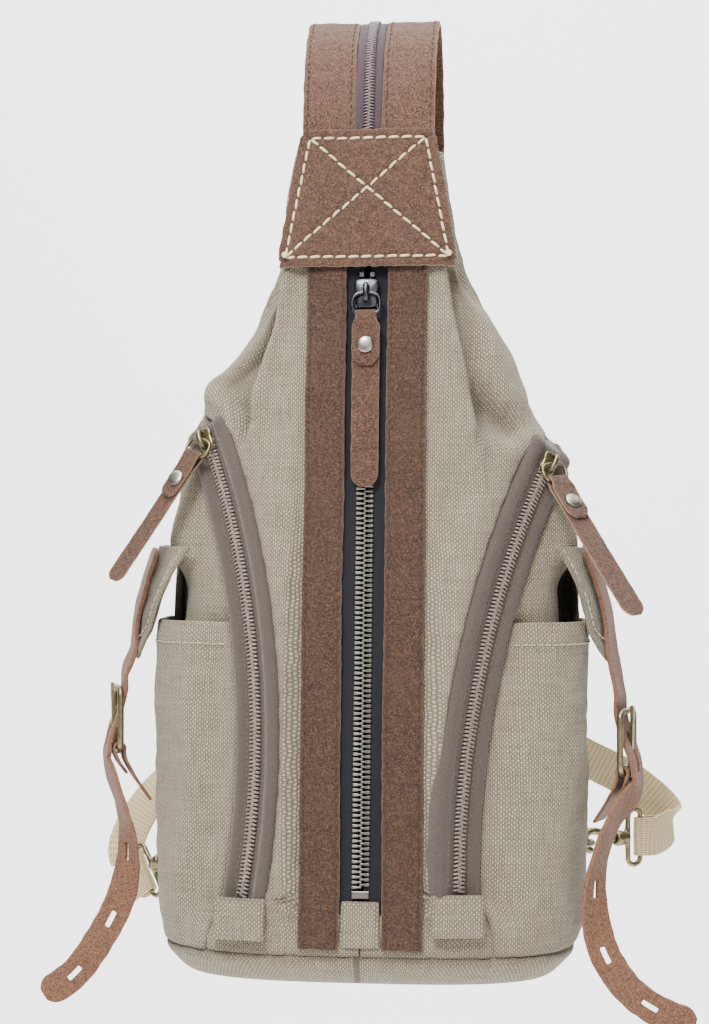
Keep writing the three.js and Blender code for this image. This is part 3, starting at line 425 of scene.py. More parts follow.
def suede_material(name, dark, middle, light, worn, nap=1.0, gloss=0.86):
    """Brushed leather: mottled, speckled and paler at its cut edges."""
    n = Nodes(name)
    where = n.place
    fine = n.noise(where, 1500.0, 4.0, 0.7)
    mottle = n.noise(where, 520.0, 4.0, 0.6, 0.6)
    both = n.math("MULTIPLY_ADD", fine, 0.75, n.math("MULTIPLY", mottle, 0.25))
    color = n.ramp(both, (0.4, dark), (0.5, middle), (0.6, light))
    patch = n.ramp(n.noise(where, 45.0, 4.0, 0.6), (0.42, 0.0), (0.72, 0.4))
    color = n.mix(patch, color, worn)
    color = n.mix(n.math("MULTIPLY", n.attribute("edge"), 0.55), color, light)
    speck = n.ramp(n.noise(where, 1050.0, 2.0, 0.5), (0.56, 0.0), (0.63, 1.0))
    color = n.mix(n.math("MULTIPLY", speck, 0.7), color, dark)
    fleck = n.ramp(n.noise(where, 820.0, 3.0, 0.6, 0.4), (0.58, 0.0), (0.66, 1.0))
    color = n.mix(n.math("MULTIPLY", fleck, 0.35), color, light)
    bump = n.bump(fine, 0.4 * nap, 0.9)
    bump = n.bump(mottle, 0.6 * nap, 0.6, bump)
    bump = n.bump(n.noise(where, 120.0, 3.0), 0.8 * nap, 0.35, bump)
    rough = n.math("MULTIPLY_ADD", mottle, 0.2, gloss - 0.1)
    return n.finish(Base_Color=color, Roughness=rough, Normal=bump, Sheen_Weight=0.12 * nap,
                    Sheen_Roughness=0.5, Specular_IOR_Level=0.25)


def metal_material(name, clean, dirty, rough, patina=0.5):
    """Worn metal, with a darker patina in places."""
    n = Nodes(name)
    where = n.place
    cloud = n.noise(where, 420.0, 5.0, 0.6)
    amount = n.ramp(cloud, (0.4, 0.0), (0.75, patina))
    color = n.mix(amount, clean, dirty)
    scratch = n.noise(n.stretch(where, (3000, 400, 400)), 1.0, 2.0)
    roughness = n.math("ADD", n.math("MULTIPLY", amount, 0.35),
                       n.math("MULTIPLY_ADD", scratch, 0.16, rough))
    bump = n.bump(n.noise(where, 1400.0, 3.0), 0.05, 0.35)
    return n.finish(Base_Color=color, Metallic=1.0, Roughness=roughness, Normal=bump)


def tape_material(name, base, light, pitch=0.55):
    """The herringbone weave of a zipper's tape."""
    n = Nodes(name)
    uv = n.uv
    parts = n.add("ShaderNodeSeparateXYZ", {0: uv})
    u = n.math("MULTIPLY", parts.outputs[0], 1000 / pitch)
    v = n.math("MULTIPLY", parts.outputs[1], 1000 / pitch)
    zig = n.math("PINGPONG", u, 2.0)
    height = n.math("MULTIPLY_ADD", n.math("SINE", n.math("MULTIPLY", n.math("ADD", v, zig),
                    math.pi)), 0.5, 0.5)
    color = n.mix(n.math("MULTIPLY", height, 0.55), base, light)
    color = n.mix(n.ramp(n.noise(uv, 900.0, 3.0), (0.45, 0.0), (0.8, 0.5)), color, light)
    bump = n.bump(height, 0.16, 0.8)
    bump = n.bump(n.noise(uv, 2200.0, 2.0), 0.06, 0.5, bump)
    return n.finish(Base_Color=color, Roughness=0.85, Normal=bump, Sheen_Weight=0.2,
                    Specular_IOR_Level=0.25)


def thread_material(name, base, dark):
    n = Nodes(name)
    where = n.place
    strands = n.noise(where, 3200.0, 3.0)
    color = n.mix(n.ramp(strands, (0.4, 0.0), (0.7, 0.8)), base, dark)
    return n.finish(Base_Color=color, Roughness=0.75, Normal=n.bump(strands, 0.12, 0.8))


def webbing_material(name):
    """Ribbed cotton webbing."""
    n = Nodes(name)
    uv = n.uv
    parts = n.add("ShaderNodeSeparateXYZ", {0: uv})
    u = n.math("MULTIPLY", parts.outputs[0], 1000 / 1.25)
    v = n.math("MULTIPLY", parts.outputs[1], 1000 / 2.4)
    rib = n.math("ABSOLUTE", n.math("COSINE", n.math("MULTIPLY", u, math.pi)))
    lean = n.math("MULTIPLY_ADD", rib, 0.35, v)
    pick = n.math("ABSOLUTE", n.math("COSINE", n.math("MULTIPLY", lean, math.pi)))
    height = n.math("MULTIPLY", n.math("POWER", rib, 0.6), n.math("MULTIPLY_ADD", pick, 0.6, 0.4))
    color = n.ramp(height, (0.1, "#84714f"), (0.6, "#b8a680"), (1.0, "#d0c19c"))
    color = n.mix(n.ramp(n.noise(n.place, 90.0, 4.0), (0.45, 0.0), (0.8, 0.4)), color, "#b39c72")
    return n.finish(Base_Color=color, Roughness=0.9, Normal=n.bump(height, 0.5, 0.9),
                    Sheen_Weight=0.2, Specular_IOR_Level=0.2)


# Each canvas's last colour is its darker tone near the seams and the painted shade in the folds'
# valleys.
CANVAS = canvas_material("canvas_weave", "#9a8f79", "#817661", "#b1a78f", "#675d4c", "#4a4134")
LINING = canvas_material("canvas_inside", "#5d564b", "#454036", "#6c655a", "#4a443a", "#3a352c")
SUEDE = suede_material("suede_brown", "#281a13", "#4c3427", "#735440", "#594033")
# The patch's and the strips' suede are darker copies of the strap's suede: painted shade for pieces
# that face the top light less than the strap.
SUEDE_PATCH_SHADED = suede_material("suede_patch", "#251811", "#462f23", "#6a4d3a", "#523b2e")
SUEDE_STRIP_SHADED = suede_material("suede_strip", "#1d120c", "#3b281d", "#5b4231", "#463226")
SUEDE_EDGE = suede_material("suede_cut_edge", "#4a3327", "#6f5140", "#8f705a", "#7b5b49")
TAN = suede_material("leather_tan", "#432b1e", "#634431", "#805b46", "#6d4c39", 0.6, 0.72)
TAN_EDGE = suede_material("leather_tan_edge", "#432a1d", "#61402e", "#7f5945", "#6d4a38", 0.8)
NAVY = tape_material("zip_tape_navy", "#08090d", "#15161f")
TAUPE = tape_material("zip_tape_taupe", "#3c332d", "#584d45")
PLUM = tape_material("zip_tape_plum", "#2b1f24", "#4d3c42")
NICKEL = metal_material("nickel", "#979389", "#4f4a43", 0.22, 0.6)
GUNMETAL = metal_material("gunmetal", "#515257", "#1e1f22", 0.17, 0.6)
RIVET = metal_material("rivet_steel", "#515350", "#2f312e", 0.45, 0.5)
BRASS = metal_material("antique_brass", "#857a5c", "#352f20", 0.24, 0.75)
WEBBING = webbing_material("cotton_webbing")
THREAD = thread_material("thread_cream", "#d8c6a2", "#a58c62")
DARK_THREAD = thread_material("thread_brown", "#2c1a11", "#1a0f0a")
CANVAS_THREAD = thread_material("thread_khaki", "#b5aa92", "#7d725c")
TAUPE_THREAD = thread_material("thread_taupe", "#62564f", "#443b36")


def coil_material_painted_glints(name, base, light):
    n = Nodes(name)
    # The paler flecks on the coil's colour are painted highlights.
    fleck = n.noise(n.place, 1900.0, 3.0, 0.6)
    color = n.mix(n.ramp(fleck, (0.42, 0.0), (0.66, 0.9)), base, light)
    return n.finish(Base_Color=color, Roughness=0.38, Normal=n.bump(fleck, 0.08, 0.5),
                    Specular_IOR_Level=0.5)


COIL_TAUPE = coil_material_painted_glints("zip_coil_taupe", "#4f443d", "#a89b8e")
COIL_PLUM = coil_material_painted_glints("zip_coil_plum", "#33262a", "#7d6a6a")

# ------------------------------------------------------------------ camera, light and stage
TURN = math.radians(6)
BACK = vec(math.sin(TURN), -math.cos(TURN), 0)
RIGHT = vec(math.cos(TURN), math.sin(TURN), 0)
EYE_FAR, FIELD, SENSOR = 1000, 512, 24       # the picture is FIELD tall at the bag's middle
EYE = BACK * EYE_FAR - RIGHT * 8.75 + vec(0, 0, 224)


def look_along(obj, place, target):
    """Puts an object at a place, looking at a target."""
    obj.location = Vector(place * MM)
    way = Vector((target - place) * MM)
    obj.rotation_euler = way.to_track_quat("-Z", "Y").to_euler()


def area_light(name, place, target, size, energy):
    data = bpy.data.lights.new(name, "AREA")
    data.shape = "RECTANGLE"
    data.size, data.size_y = size
    data.energy = energy
    obj = bpy.data.objects.new(name, data)
    bpy.context.scene.collection.objects.link(obj)
    look_along(obj, vec(*place), vec(*target))


def build_stage():
    camera = bpy.data.cameras.new("camera")
    camera.sensor_fit = "VERTICAL"
    camera.sensor_height = SENSOR
    camera.lens = SENSOR * EYE_FAR / FIELD
    obj = bpy.data.objects.new("camera", camera)
    bpy.context.scene.collection.objects.link(obj)
    look_along(obj, EYE, EYE - BACK * 100)
    bpy.context.scene.camera = obj

    paper = Nodes("stage_white").finish(Base_Color=(0.95, 0.95, 0.95, 1), Roughness=0.9,
                                        Emission_Color=(1, 1, 1, 1), Emission_Strength=0.85)
    floor_z, wall_y, bend = -320.0, 1500.0, 600.0
    profile = [(-2600, floor_z)]
    profile += [(wall_y - bend + bend * math.sin(a), floor_z + bend - bend * math.cos(a))
                for a in np.linspace(0, math.pi / 2, 16)]
    profile += [(wall_y, 2800)]
    verts = [vec(x, y, z) for y, z in profile for x in (-3200, 3200)]
    make("backdrop", verts, grid_faces(len(profile), 2), paper)

    world = bpy.data.worlds.new("studio")
    world.use_nodes = True
    world.node_tree.nodes["Background"].inputs["Color"].default_value = (1, 1, 1, 1)
    world.node_tree.nodes["Background"].inputs["Strength"].default_value = 0.17
    bpy.context.scene.world = world
    area_light("key", (-260, -1050, 1250), (0, 0, 230), (0.45, 0.45), 44)
    area_light("fill", (500, -1350, 300), (0, 0, 220), (0.7, 0.9), 5)
    area_light("top", (0, -150, 1300), (0, 0, 230), (1.0, 0.7), 24)
    area_light("wash", (0, 500, 1500), (0, 1500, 300), (2.2, 0.6), 40)


# ------------------------------------------------------------------ the bag's skin
CANVAS_THICK = 2.0
EDGE_DROP = 1.0       # how far canvas turns in at a seam


class Ring:
    """One half of the body's outline at one height, measured along it from the front's middle."""

    def __init__(self, side, z, side_in=0.0, face_in=0.0, count=700):
        half = station("half", z) - side_in
        front, back = front_depth(z) - face_in, station("back", z) - face_in
        power = 2 / station("power", z)
        a = np.linspace(-np.pi / 2, np.pi / 2, count)
        x = side * half * np.cos(a).clip(0) ** power
        round_y = np.abs(np.sin(a)) ** power
        y = (back - front) / 2 + np.sign(np.sin(a)) * (back + front) / 2 * round_y
        self.p = np.stack([x, y, np.full(count, float(z))], -1)
        self.way = path_length(self.p)
        self.z = z

    def at(self, way):
        return np.stack([np.interp(way, self.way, self.p[:, k]) for k in range(3)], -1)

    def first(self, wanted):
        """The distance along the outline where the wanted value first passes zero."""
        k = int(np.argmax(wanted > 0))
        if k == 0:
            return self.way[-1] if wanted[0] <= 0 else 0.0
        f = wanted[k - 1] / (wanted[k - 1] - wanted[k])
        return self.way[k - 1] + f * (self.way[k] - self.way[k - 1])

    def to_x(self, x):
        return self.first(np.abs(self.p[:, 0]) - x)

    def to_arc(self, zp, radius):
        return self.first(radius - zip_distance(zp, self.p))

    def to_seam(self, gap=0.0):
        return self.first(self.p[:, 1] - seam_y(self.z) - gap)

    @property
    def end(self):
        return self.way[-1]


def panel(side, zs, low, high, columns, side_in=None, face_in=None):
    """Points, outline distances and heights of a panel between two edges of the outline."""
    rows, ways = [], []
    for z in zs:
        ring = Ring(side, z, side_in(z) if side_in else 0, face_in(z) if face_in else 0)
        a, b = low(ring), high(ring)
        w = a + (b - a) * np.linspace(0, 1, columns)
        rows.append(ring.at(w))
        ways.append(w)
    return np.array(rows), np.array(ways)


def crease(x, z, points, width, height):
    """A ridge or, with a negative height, a valley along a line across the front, in x and z."""
    pts = np.array(points, float)
    best = np.full(np.shape(x), 1e9)
    where = np.zeros(np.shape(x))
    lengths = np.linalg.norm(np.diff(pts, axis=0), axis=1)
    total, start = lengths.sum(), 0.0
    for a, b, length in zip(pts[:-1], pts[1:], lengths):
        d = (b - a) / length
        t = np.clip(((x - a[0]) * d[0] + (z - a[1]) * d[1]), 0, length)
        gap = np.hypot(x - a[0] - t * d[0], z - a[1] - t * d[1])
        where = np.where(gap < best, (start + t) / total, where)
        best = np.minimum(best, gap)
        start += length
    fade = np.sin(np.pi * np.clip(0.12 + 0.88 * where, 0, 1)) ** 0.8
    return height * np.exp(-(best / width) ** 2) * fade


FRONT_CREASES = [
    ([(-48, 330), (-58, 308), (-67, 288), (-74, 278)], 6.0, -6.5),
    ([(-76, 296), (-72, 278), (-68, 262)], 5.5, 2.6),
    ([(-61, 274), (-65, 256), (-70, 240)], 4.0, -4.0),
    ([(-33, 300), (-35, 250), (-36, 190)], 3.0, 0.9),
    ([(53, 281), (62, 272), (74, 264), (88, 256)], 5.5, -7.0),
    ([(54, 318), (64, 296), (76, 276)], 8.0, 3.4),
    ([(58, 262), (68, 252), (84, 240)], 6.0, 3.2),
    ([(44, 300), (48, 270), (52, 235)], 7.0, 1.6),
    ([(34, 260), (36, 200), (37, 120)], 3.5, 0.8),
    ([(-36, 120), (-38, 80), (-39, 40)], 3.5, 0.9),
]


PLEATS = {
    -1: [(232, 63), (250, 61), (270, 57.5), (285, 54.5), (305, 50), (320, 46), (344, 40.5)],
    1: [(232, 58), (250, 56), (270, 52.5), (287, 49), (305, 45), (320, 41.5), (344, 37.5)],
}


def pleat(x, z, side):
    """The fold that runs down from a lower corner of the patch: a lit edge, with the canvas
    dropping away outside it and swelling out again towards the shoulder."""
    zs, xs = np.array(PLEATS[side], float).T
    d = side * x - np.interp(z, zs, xs)
    strength = ease(z, 226, 272) * (1 - 0.5 * ease(z, 330, 352))
    step = ease(d, -0.4, 3.2) * np.exp(-(np.maximum(d, 0) / 12.0) ** 2)
    lip = np.exp(-((d + 2.4) / 4.0) ** 2)
    return strength * (2.6 * lip - 10.5 * step)


def valley(p, side):
    """How deep a fold's valley is, 0 to 1: there the canvas is darkened with painted shade."""
    x, z = p[..., 0], p[..., 2]
    depth = pleat(x, z, side)
    for points, width, height in FRONT_CREASES:
        depth = depth + crease(x, z, points, width, height)
    return np.clip(-depth / 9.0, 0, 1)


def shoulder(p):
    """How far the left shoulder's canvas bulges sideways over the pocket zipper, in mm."""
    x, z = p[..., 0], p[..., 2]
    bulge = 6.5 * np.exp(-((z - 287) / 13) ** 2) * ease(-x, 48, 70)
    waist = 2.2 * np.exp(-((z - 315) / 9) ** 2) * ease(-x, 36, 56)
    return bulge - waist


def slack(p, way, side, seed=3, amount=1.0):
    """How far the canvas stands out from the smooth body: folds, slack and sag, in mm."""
    x, z = p[..., 0], p[..., 2]
    out = 0.9 * waves(way * side * 1.6, z * 0.8, seed, 60)
    out = out + 0.3 * waves(way * side, z, seed + 9, 21)
    front = p[..., 1] < 8
    for points, width, height in FRONT_CREASES:
        out = out + np.where(front, crease(x, z, points, width, height), 0)
    return out * amount + np.where(front, pleat(x, z, side), 0)


def edge_shape(p, margins, seed, roll=2.4, pucker=0.35):
    """Canvas turns in at its seams, and puckers a little beside them. margins says which of
    the edges at the low row, high row, first column and last column are sewn."""
    n, m = p.shape[:2]
    rows = path_length(p[:, m // 2])
    up, down = np.repeat(rows[:, None], m, 1), np.repeat((rows[-1] - rows)[:, None], m, 1)
    left, right = reach(p, 0), reach(p, -1)
    gap = np.full((n, m), 99.0)
    for flag, distance in zip(margins, (up, down, left, right)):
        if flag:
            gap = np.minimum(gap, distance)
    turn = np.clip(1 - gap / roll, 0, 1)
    out = -EDGE_DROP * turn ** 2
    lengthwise = np.where(np.minimum(left, right) < np.minimum(up, down), up, left)
    out += pucker * np.exp(-(gap / 5) ** 2) * waves(lengthwise, lengthwise * 0, seed, 9, 2)
    return out, np.exp(-(gap / 2.2) ** 2), gap


def cloth_uv(way, zs, side):
    """Where a panel's points are on the flat cloth."""
    v = np.repeat((np.asarray(zs) / math.cos(LEAN))[:, None], way.shape[1], 1)
    return np.stack([way * side, v], -1)


def from_tape(p, zp, face):
    """Distance from the tape's outer edge, with face 1, or its inner one, with face -1."""
    return face * (zip_distance(zp, p) - zp["radius"]) - TAPE_HALF


def meet_tape(p, zp, face, sink=0.8, width=26.0):
    """Bends a panel to lie just below the plane of the pocket zipper's tape beside it."""
    outward = zip_axes(zp)[2]
    low, high = tape_span(zp)
    z = p[..., 2]
    gap = (vec(*zp["centre"]) - p) @ outward - np.reshape(sink, (-1, 1))
    hold = ease(z, low - 16, low + 2) * (1 - ease(z, high - 8, high + 12))
    hold = hold * (1 - ease(from_tape(p, zp, face), 0, width))
    if face > 0:
        hold = hold * ease(np.abs(p[..., 0]), 29.8, 34)
    else:
        hold = hold * ease(reach(p, -1), 0, 9)
    return p + outward * (np.clip(gap, -9, 9) * hold)[..., None]


def cloth_panel(name, p, uv, side_flip, out, edge, node):
    """A panel of canvas, moved out from the smooth body, that replaces a CAD node."""
    p = p - vec(1, 0, 0) * shoulder(p)[..., None]
    normals = surface_normals(p) * (-1 if side_flip else 1)
    obj = sheet(name, p + normals * out[..., None], CANVAS, uv, edge, side_flip)
    return settle(thicken(obj, CANVAS_THICK), "root", "canvas", node)


def tape_span(zp, extra=0.0):
    """The heights of the ends of a pocket zipper's tape, extra longer at both."""
    ends = on_zip(zp, zp["radius"], [zp["start"], zp["end"]], 0)[:, 2]
    return ends[0] - extra, ends[1] + extra


def front_edge(ring, zp):
    """Where the front panel ends: outside the tape, under the pocket below it, and at the side
    seam above it."""
    low, high = tape_span(zp)
    under = zp["radius"] - TAPE_HALF - 3
    arc = ring.to_arc(zp, under + (2 * TAPE_HALF + 3.2) * ease(ring.z, low + 1, low + 4))
    seam = ring.to_seam(-0.1)
    return lerp(min(arc, seam), seam, ease(ring.z, high - 8, high + 10))


def side_edge(ring, zp):
    """Where the side panel starts: beside the tape, and under the tape's upper end."""
    high = tape_span(zp)[1]
    under = 20 * ease(ring.z, high - 34, high - 14)
    arc = ring.to_arc(zp, zp["radius"] - TAPE_HALF - 0.2 + under)
    start = lerp(arc, front_edge(ring, zp) - 3, ease(ring.z, high - 8, high - 2))
    return min(start, ring.to_seam(-0.1) - 1)


def heights(low, high, step):
    """Even heights from low to high, about step apart."""
    return np.linspace(low, high, max(2, int(round((high - low) / step)) + 1))


def build_front_panel(name, zp):
    """From the front zipper round to the pocket's tape, and above it to the back seam."""
    side = zp["side"]
    low, high = tape_span(zp)
    zs = heights(SEAM_Z + 0.4, NECK_Z - 1, 2.0)
    p, way = panel(side, zs, lambda r: r.to_x(13.0 if 33 < r.z < 345 else 0.3),
                   lambda r: front_edge(r, zp), 76)
    p = meet_tape(p, zp, 1)
    turn, edge, _ = edge_shape(p, (1, 0, 0, 1), side + 5)
    turn = turn - 2.2 * (1 - ease(reach(p, -1), 0, 5)) * (1 - ease(p[..., 2], low, low + 3))
    hold = ease(np.hypot(np.maximum(from_tape(p, zp, 1), 0),
                         np.maximum(p[..., 2] - high, 0)), 0, 12)
    hold = hold * lerp(1, ease(reach(p, -1), 0, 9), ease(p[..., 2], high - 2, high + 8))
    hold = hold * ease(p[..., 2] - SEAM_Z, 0, 12)
    strip = ease(np.abs(p[..., 0]), 22, 38)
    out = turn + slack(p, way, side) * hold * strip
    # Painted shade in the folds' valleys, added to the edge attribute that darkens the canvas.
    edge = np.maximum(edge, valley(p, side) * hold * strip)
    cloth_panel(f"canvas_front_{name}", p, cloth_uv(way, zs, side), side < 0, out, edge,
                f"front_panel_{name}")


def build_side_panel(name, zp):
    """Behind the pocket, and above it between the tape and the back seam."""
    side, high = zp["side"], tape_span(zp)[1]

    def wall_in(z):
        return 3.6 + 9.4 * ease(z, 18, 50) - 13 * ease(z, 185, 212)

    def face_in(z):
        return 3.6 * (1 - ease(z, 176, 206))
    zs = heights(SEAM_Z + 0.4, min(high + 30, 300), 2.2)
    p, way = panel(side, zs, lambda r: side_edge(r, zp), lambda r: r.to_seam(-0.1), 60, wall_in,
                   face_in)
    under = ease(np.array(zs), high - 36, high - 16)
    p = meet_tape(p, zp, -1, 1.0 + 3.4 * (1 - ease(np.array(zs), 168, 182)) + 3.2 * under)
    turn, edge, gap = edge_shape(p, (1, 0, 1, 1), side + 15)
    turn = turn - 2.4 * (1 - ease(reach(p, 0), 0, 6)) * ease(p[..., 2], high - 10, high - 4)
    above = ease(p[..., 2], 178, 205)
    out = turn + slack(p, way, side, 21) * ease(gap, 0, 12) * above
    cloth_panel(f"canvas_side_{name}", p, cloth_uv(way, zs, side), side < 0, out, edge,
                f"side_panel_{name}")


def build_pocket_panel(name, zp):
    """The side pocket, with a stitched hem along its rim."""
    side = zp["side"]
    zs = heights(SEAM_Z + 0.4, RIM_Z - 0.6, 1.6)
    p, way = panel(side, zs, lambda r: r.to_arc(zp, zp["radius"] - TAPE_HALF - 0.2),
                   lambda r: r.to_seam(-0.1), 64)
    p = meet_tape(p, zp, -1)
    turn, edge, gap = edge_shape(p, (1, 0, 1, 1), side + 25)
    hem = ease(p[..., 2], RIM_Z - 14.2, RIM_Z - 13)
    rim = ease(p[..., 2], RIM_Z - 3, RIM_Z)
    out = turn + 0.9 * hem - 1.1 * rim ** 2
    out = out + slack(p, way, side, 31, 1.3) * ease(gap, 0, 12) * (1 - 0.4 * hem)
    cloth_panel(f"canvas_pocket_{name}", p, cloth_uv(way, zs, side), side < 0, out, edge,
                f"side_pocket_{name}")
    row = np.argmin(np.abs(zs - (RIM_Z - 11.5)))
    normal = surface_normals(p)[row, 3:-3] * side
    line = p[row, 3:-3] + normal * (out[row, 3:-3, None] + 0.1)
    settle(stitches(f"pocket_stitches_{name}", [(line, normal)], CANVAS_THREAD, HEM_STITCH),
           "root", "canvas")


def build_back_panel():
    """The padded back, from one back seam round to the other."""
    zs = heights(SEAM_Z + 0.4, NECK_Z - 1, 2.4)
    rows = []
    for z in zs:
        left, right = Ring(-1, z), Ring(1, z)
        a = left.at(np.linspace(left.to_seam(0.1), left.end, 70))
        b = right.at(np.linspace(right.end, right.to_seam(0.1), 70))[1:]
        rows.append(np.concatenate([a, b]))
    p, way = np.array(rows), np.array([path_length(row) for row in rows])
    way = way - way[:, -1:] / 2
    turn, edge, gap = edge_shape(p, (1, 0, 1, 1), 41)
    out = turn + 1.6 * ease(gap, 4, 40) + ease(gap, 0, 16) * (
        0.8 * waves(way * 1.4, p[..., 2] * 0.7, 51, 70) + 0.3 * waves(way, p[..., 2], 52, 24))
    obj = cloth_panel("canvas_back", p, cloth_uv(way, zs, 1), True, out, edge, "back_panel")


def build_seam(name, side):
    """The seam allowance that closes a back seam from inside."""
    rings = [Ring(side, z, 2.5, 2.5) for z in heights(SEAM_Z - 1, NECK_Z - 2, 3.0)]
    path = np.array([r.at(r.to_seam()) for r in rings])
    path = path - vec(1, 0, 0) * shoulder(path)[:, None]
    across = np.array([r.at(r.to_seam(1)) - r.at(r.to_seam(-1)) for r in rings])
    obj, _, _ = band(f"seam_{name}", path, across, 7.0, 0.8, CANVAS, 5, rough=0, wobble=0, soften=0,
                     rim=0)
    settle(obj, "root", "canvas")


def build_canvas():
    for name, zp in ZIPS.items():
        build_front_panel(name, zp)
        build_side_panel(name, zp)
        build_pocket_panel(name, zp)
    build_back_panel()
    for name, side in SIDE.items():
        build_seam(name, side)
    build_base()
    top_lid()


def whole_ring(z, inset=0.0, count=90):
    left, right = Ring(-1, z, inset, inset), Ring(1, z, inset, inset)
    a = right.at(np.linspace(0, right.end, count))
    b = left.at(np.linspace(left.end, 0, count))
    return np.concatenate([a, b[1:-1]])


def build_base():
    """The base panel: a flange inside the seam, a rounded edge and a flat underside."""
    profile = [(SEAM_Z + 6, 3.6), (SEAM_Z + 1.2, 2.6), (SEAM_Z - 0.1, 1.2), (SEAM_Z - 0.9, 0.3),
               (SEAM_Z - 2.5, -0.2), (10, -0.3), (7.5, 0), (5, 0.2), (3, 0.3), (1.6, 0.8),
               (0.6, 1.6), (0.1, 2.6), (0, 5)]
    rings = [whole_ring(z, inset) for z, inset in profile]
    inner = rings[-1].copy()
    centre = vec(0, inner[:, 1].mean(), 0)
    rings += [centre + (inner - centre) * s for s in (0.8, 0.55, 0.3, 0.08)]
    p = np.array(rings)
    n, m = p.shape[:2]
    widest = p[5]
    around = path_length(np.concatenate([widest, widest[:1]]))[:-1]
    out = 0.35 * waves(around, around * 0, 61, 26)
    normal = unit(widest - centre * [1, 1, 0] - [0, 0, 10])
    normal[:, 2] = 0
    p[2:8] += (normal * out[:, None])[None] * np.array([0.2, 0.6, 1, 1, 0.8, 0.5])[:, None, None]
    down = path_length(p[:, 0])
    uv = np.stack([np.repeat(around[None], n, 0), np.repeat(down[:, None], m, 1)], -1)
    uv[-5:, :, 0], uv[-5:, :, 1] = p[-5:, :, 0], p[-5:, :, 1]
    edge = np.zeros((n, m))
    edge[:5] = [[1.0], [1.0], [1.0], [0.7], [0.3]]
    verts = np.concatenate([p.reshape(-1, 3), centre[None]])
    faces = grid_faces(n, m, True, wrap=True).tolist()
    last = (n - 1) * m
    faces += [(last + k, last + (k + 1) % m, n * m) for k in range(m)]
    obj = make("canvas_base", verts, faces, CANVAS,
               np.concatenate([uv.reshape(-1, 2), [[0, centre[1]]]]),
               {"edge": np.concatenate([edge.ravel(), [0]])})
    thicken(obj, 2.2, soften=0)
    settle(obj, "root", "canvas", "bottom_panel")


def top_lid():
    """The folded end of the canvas at the neck, between the patch and the strap."""
    ring = whole_ring(NECK_Z - 1.4, 0.6, 40)
    centre = ring.mean(axis=0)
    rings = np.array([centre + (ring - centre) * s + [0, 0, lift]
                      for s, lift in ((1, 0), (0.9, 1.0), (0.6, 1.3), (0.2, 1.4), (0.02, 1.4))])
    obj = sheet("canvas_neck", rings, CANVAS, rings[..., :2], np.full(rings.shape[:2], 0.4),
                wrap=True)
    settle(thicken(obj, 1.2, soften=0), "root", "canvas")


# ------------------------------------------------------------------ stitches
def tube(path, normal, radius, sides=8, taper=None, closed=False):
    """Vertices and faces of a round tube along a path."""
    path = np.asarray(path, float)
    tangent = unit(np.gradient(path, axis=0))
    if closed:
        tangent = unit(np.roll(path, -1, 0) - np.roll(path, 1, 0))
    side = unit(np.cross(normal, tangent))
    up = np.cross(tangent, side)
    a = np.linspace(0, 2 * np.pi, sides, endpoint=False)
    r = radius * (np.ones(len(path)) if taper is None else np.asarray(taper))
    verts = (path[:, None] + r[:, None, None] * (np.cos(a)[None, :, None] * side[:, None]
                                                 + np.sin(a)[None, :, None] * up[:, None]))
    n = len(path)
    if closed:
        faces = grid_faces(n + 1, sides, False, wrap=True) % (n * sides)
    else:
        faces = grid_faces(n, sides, False, wrap=True)
    return verts.reshape(-1, 3), [tuple(f) for f in faces]


def merge(parts):
    verts, faces, base = [], [], 0
    for v, f in parts:
        verts.append(v)
        faces += [tuple(int(i) + base for i in face) for face in f]
        base += len(v)
    return np.concatenate(verts), faces


# Each kind of stitch: its length, the gap after it and the thread's radius.
HEM_STITCH = (2.6, 1.0, 0.36)
FLAP_STITCH = (2.6, 1.0, 0.34)
STRIP_STITCH = (2.6, 1.5, 0.36)
STRAP_STITCH = (2.5, 1.5, 0.36)
PATCH_STITCH = (4.7, 1.3, 0.62)
TAPE_STITCH = (1.9, 1.0, 0.24)


def stitches(name, rows, material, size, arch=0.35, skew=0.0):
    """Thread showing as separate stitches along rows of (points, normals)."""
    length, gap, radius = size
    parts = []
    for line, normal in rows:
        both = resample(np.concatenate([line, np.broadcast_to(normal, line.shape)], 1), step=0.5)
        pts, nrm = both[:, :3], unit(both[:, 3:])
        way = path_length(pts)
        count = max(1, int((way[-1] - 0.4) // (length + gap)))
        pitch = way[-1] / count
        for k in range(count):
            a = (k + 0.5) * pitch
            at = a + (length / 2) * np.array([-1.06, -0.92, -0.6, 0, 0.6, 0.92, 1.06])
            p = np.stack([np.interp(at, way, pts[:, c]) for c in range(3)], -1)
            nn = unit(np.stack([np.interp(a, way, nrm[:, c]) for c in range(3)], -1))
            tangent = unit(p[-1] - p[0])
            sideways = np.cross(nn, tangent)
            wander = random.uniform(-0.12, 0.12)
            lean = np.linspace(-1, 1, 7)[:, None] * skew * sideways
            lift = np.array([-0.9, -0.35, 0.25, 0.5, 0.25, -0.35, -0.9]) * radius + arch * radius
            p = p + nn * lift[:, None] + sideways * wander + lean
            v, f = tube(p, nn, radius, 6, [0.35, 0.8, 1, 1.05, 1, 0.8, 0.35])
            caps = [tuple(range(5, -1, -1)), tuple(range(36, 42))]
            parts.append((v, f + caps))
    return make(name, *merge(parts), material)


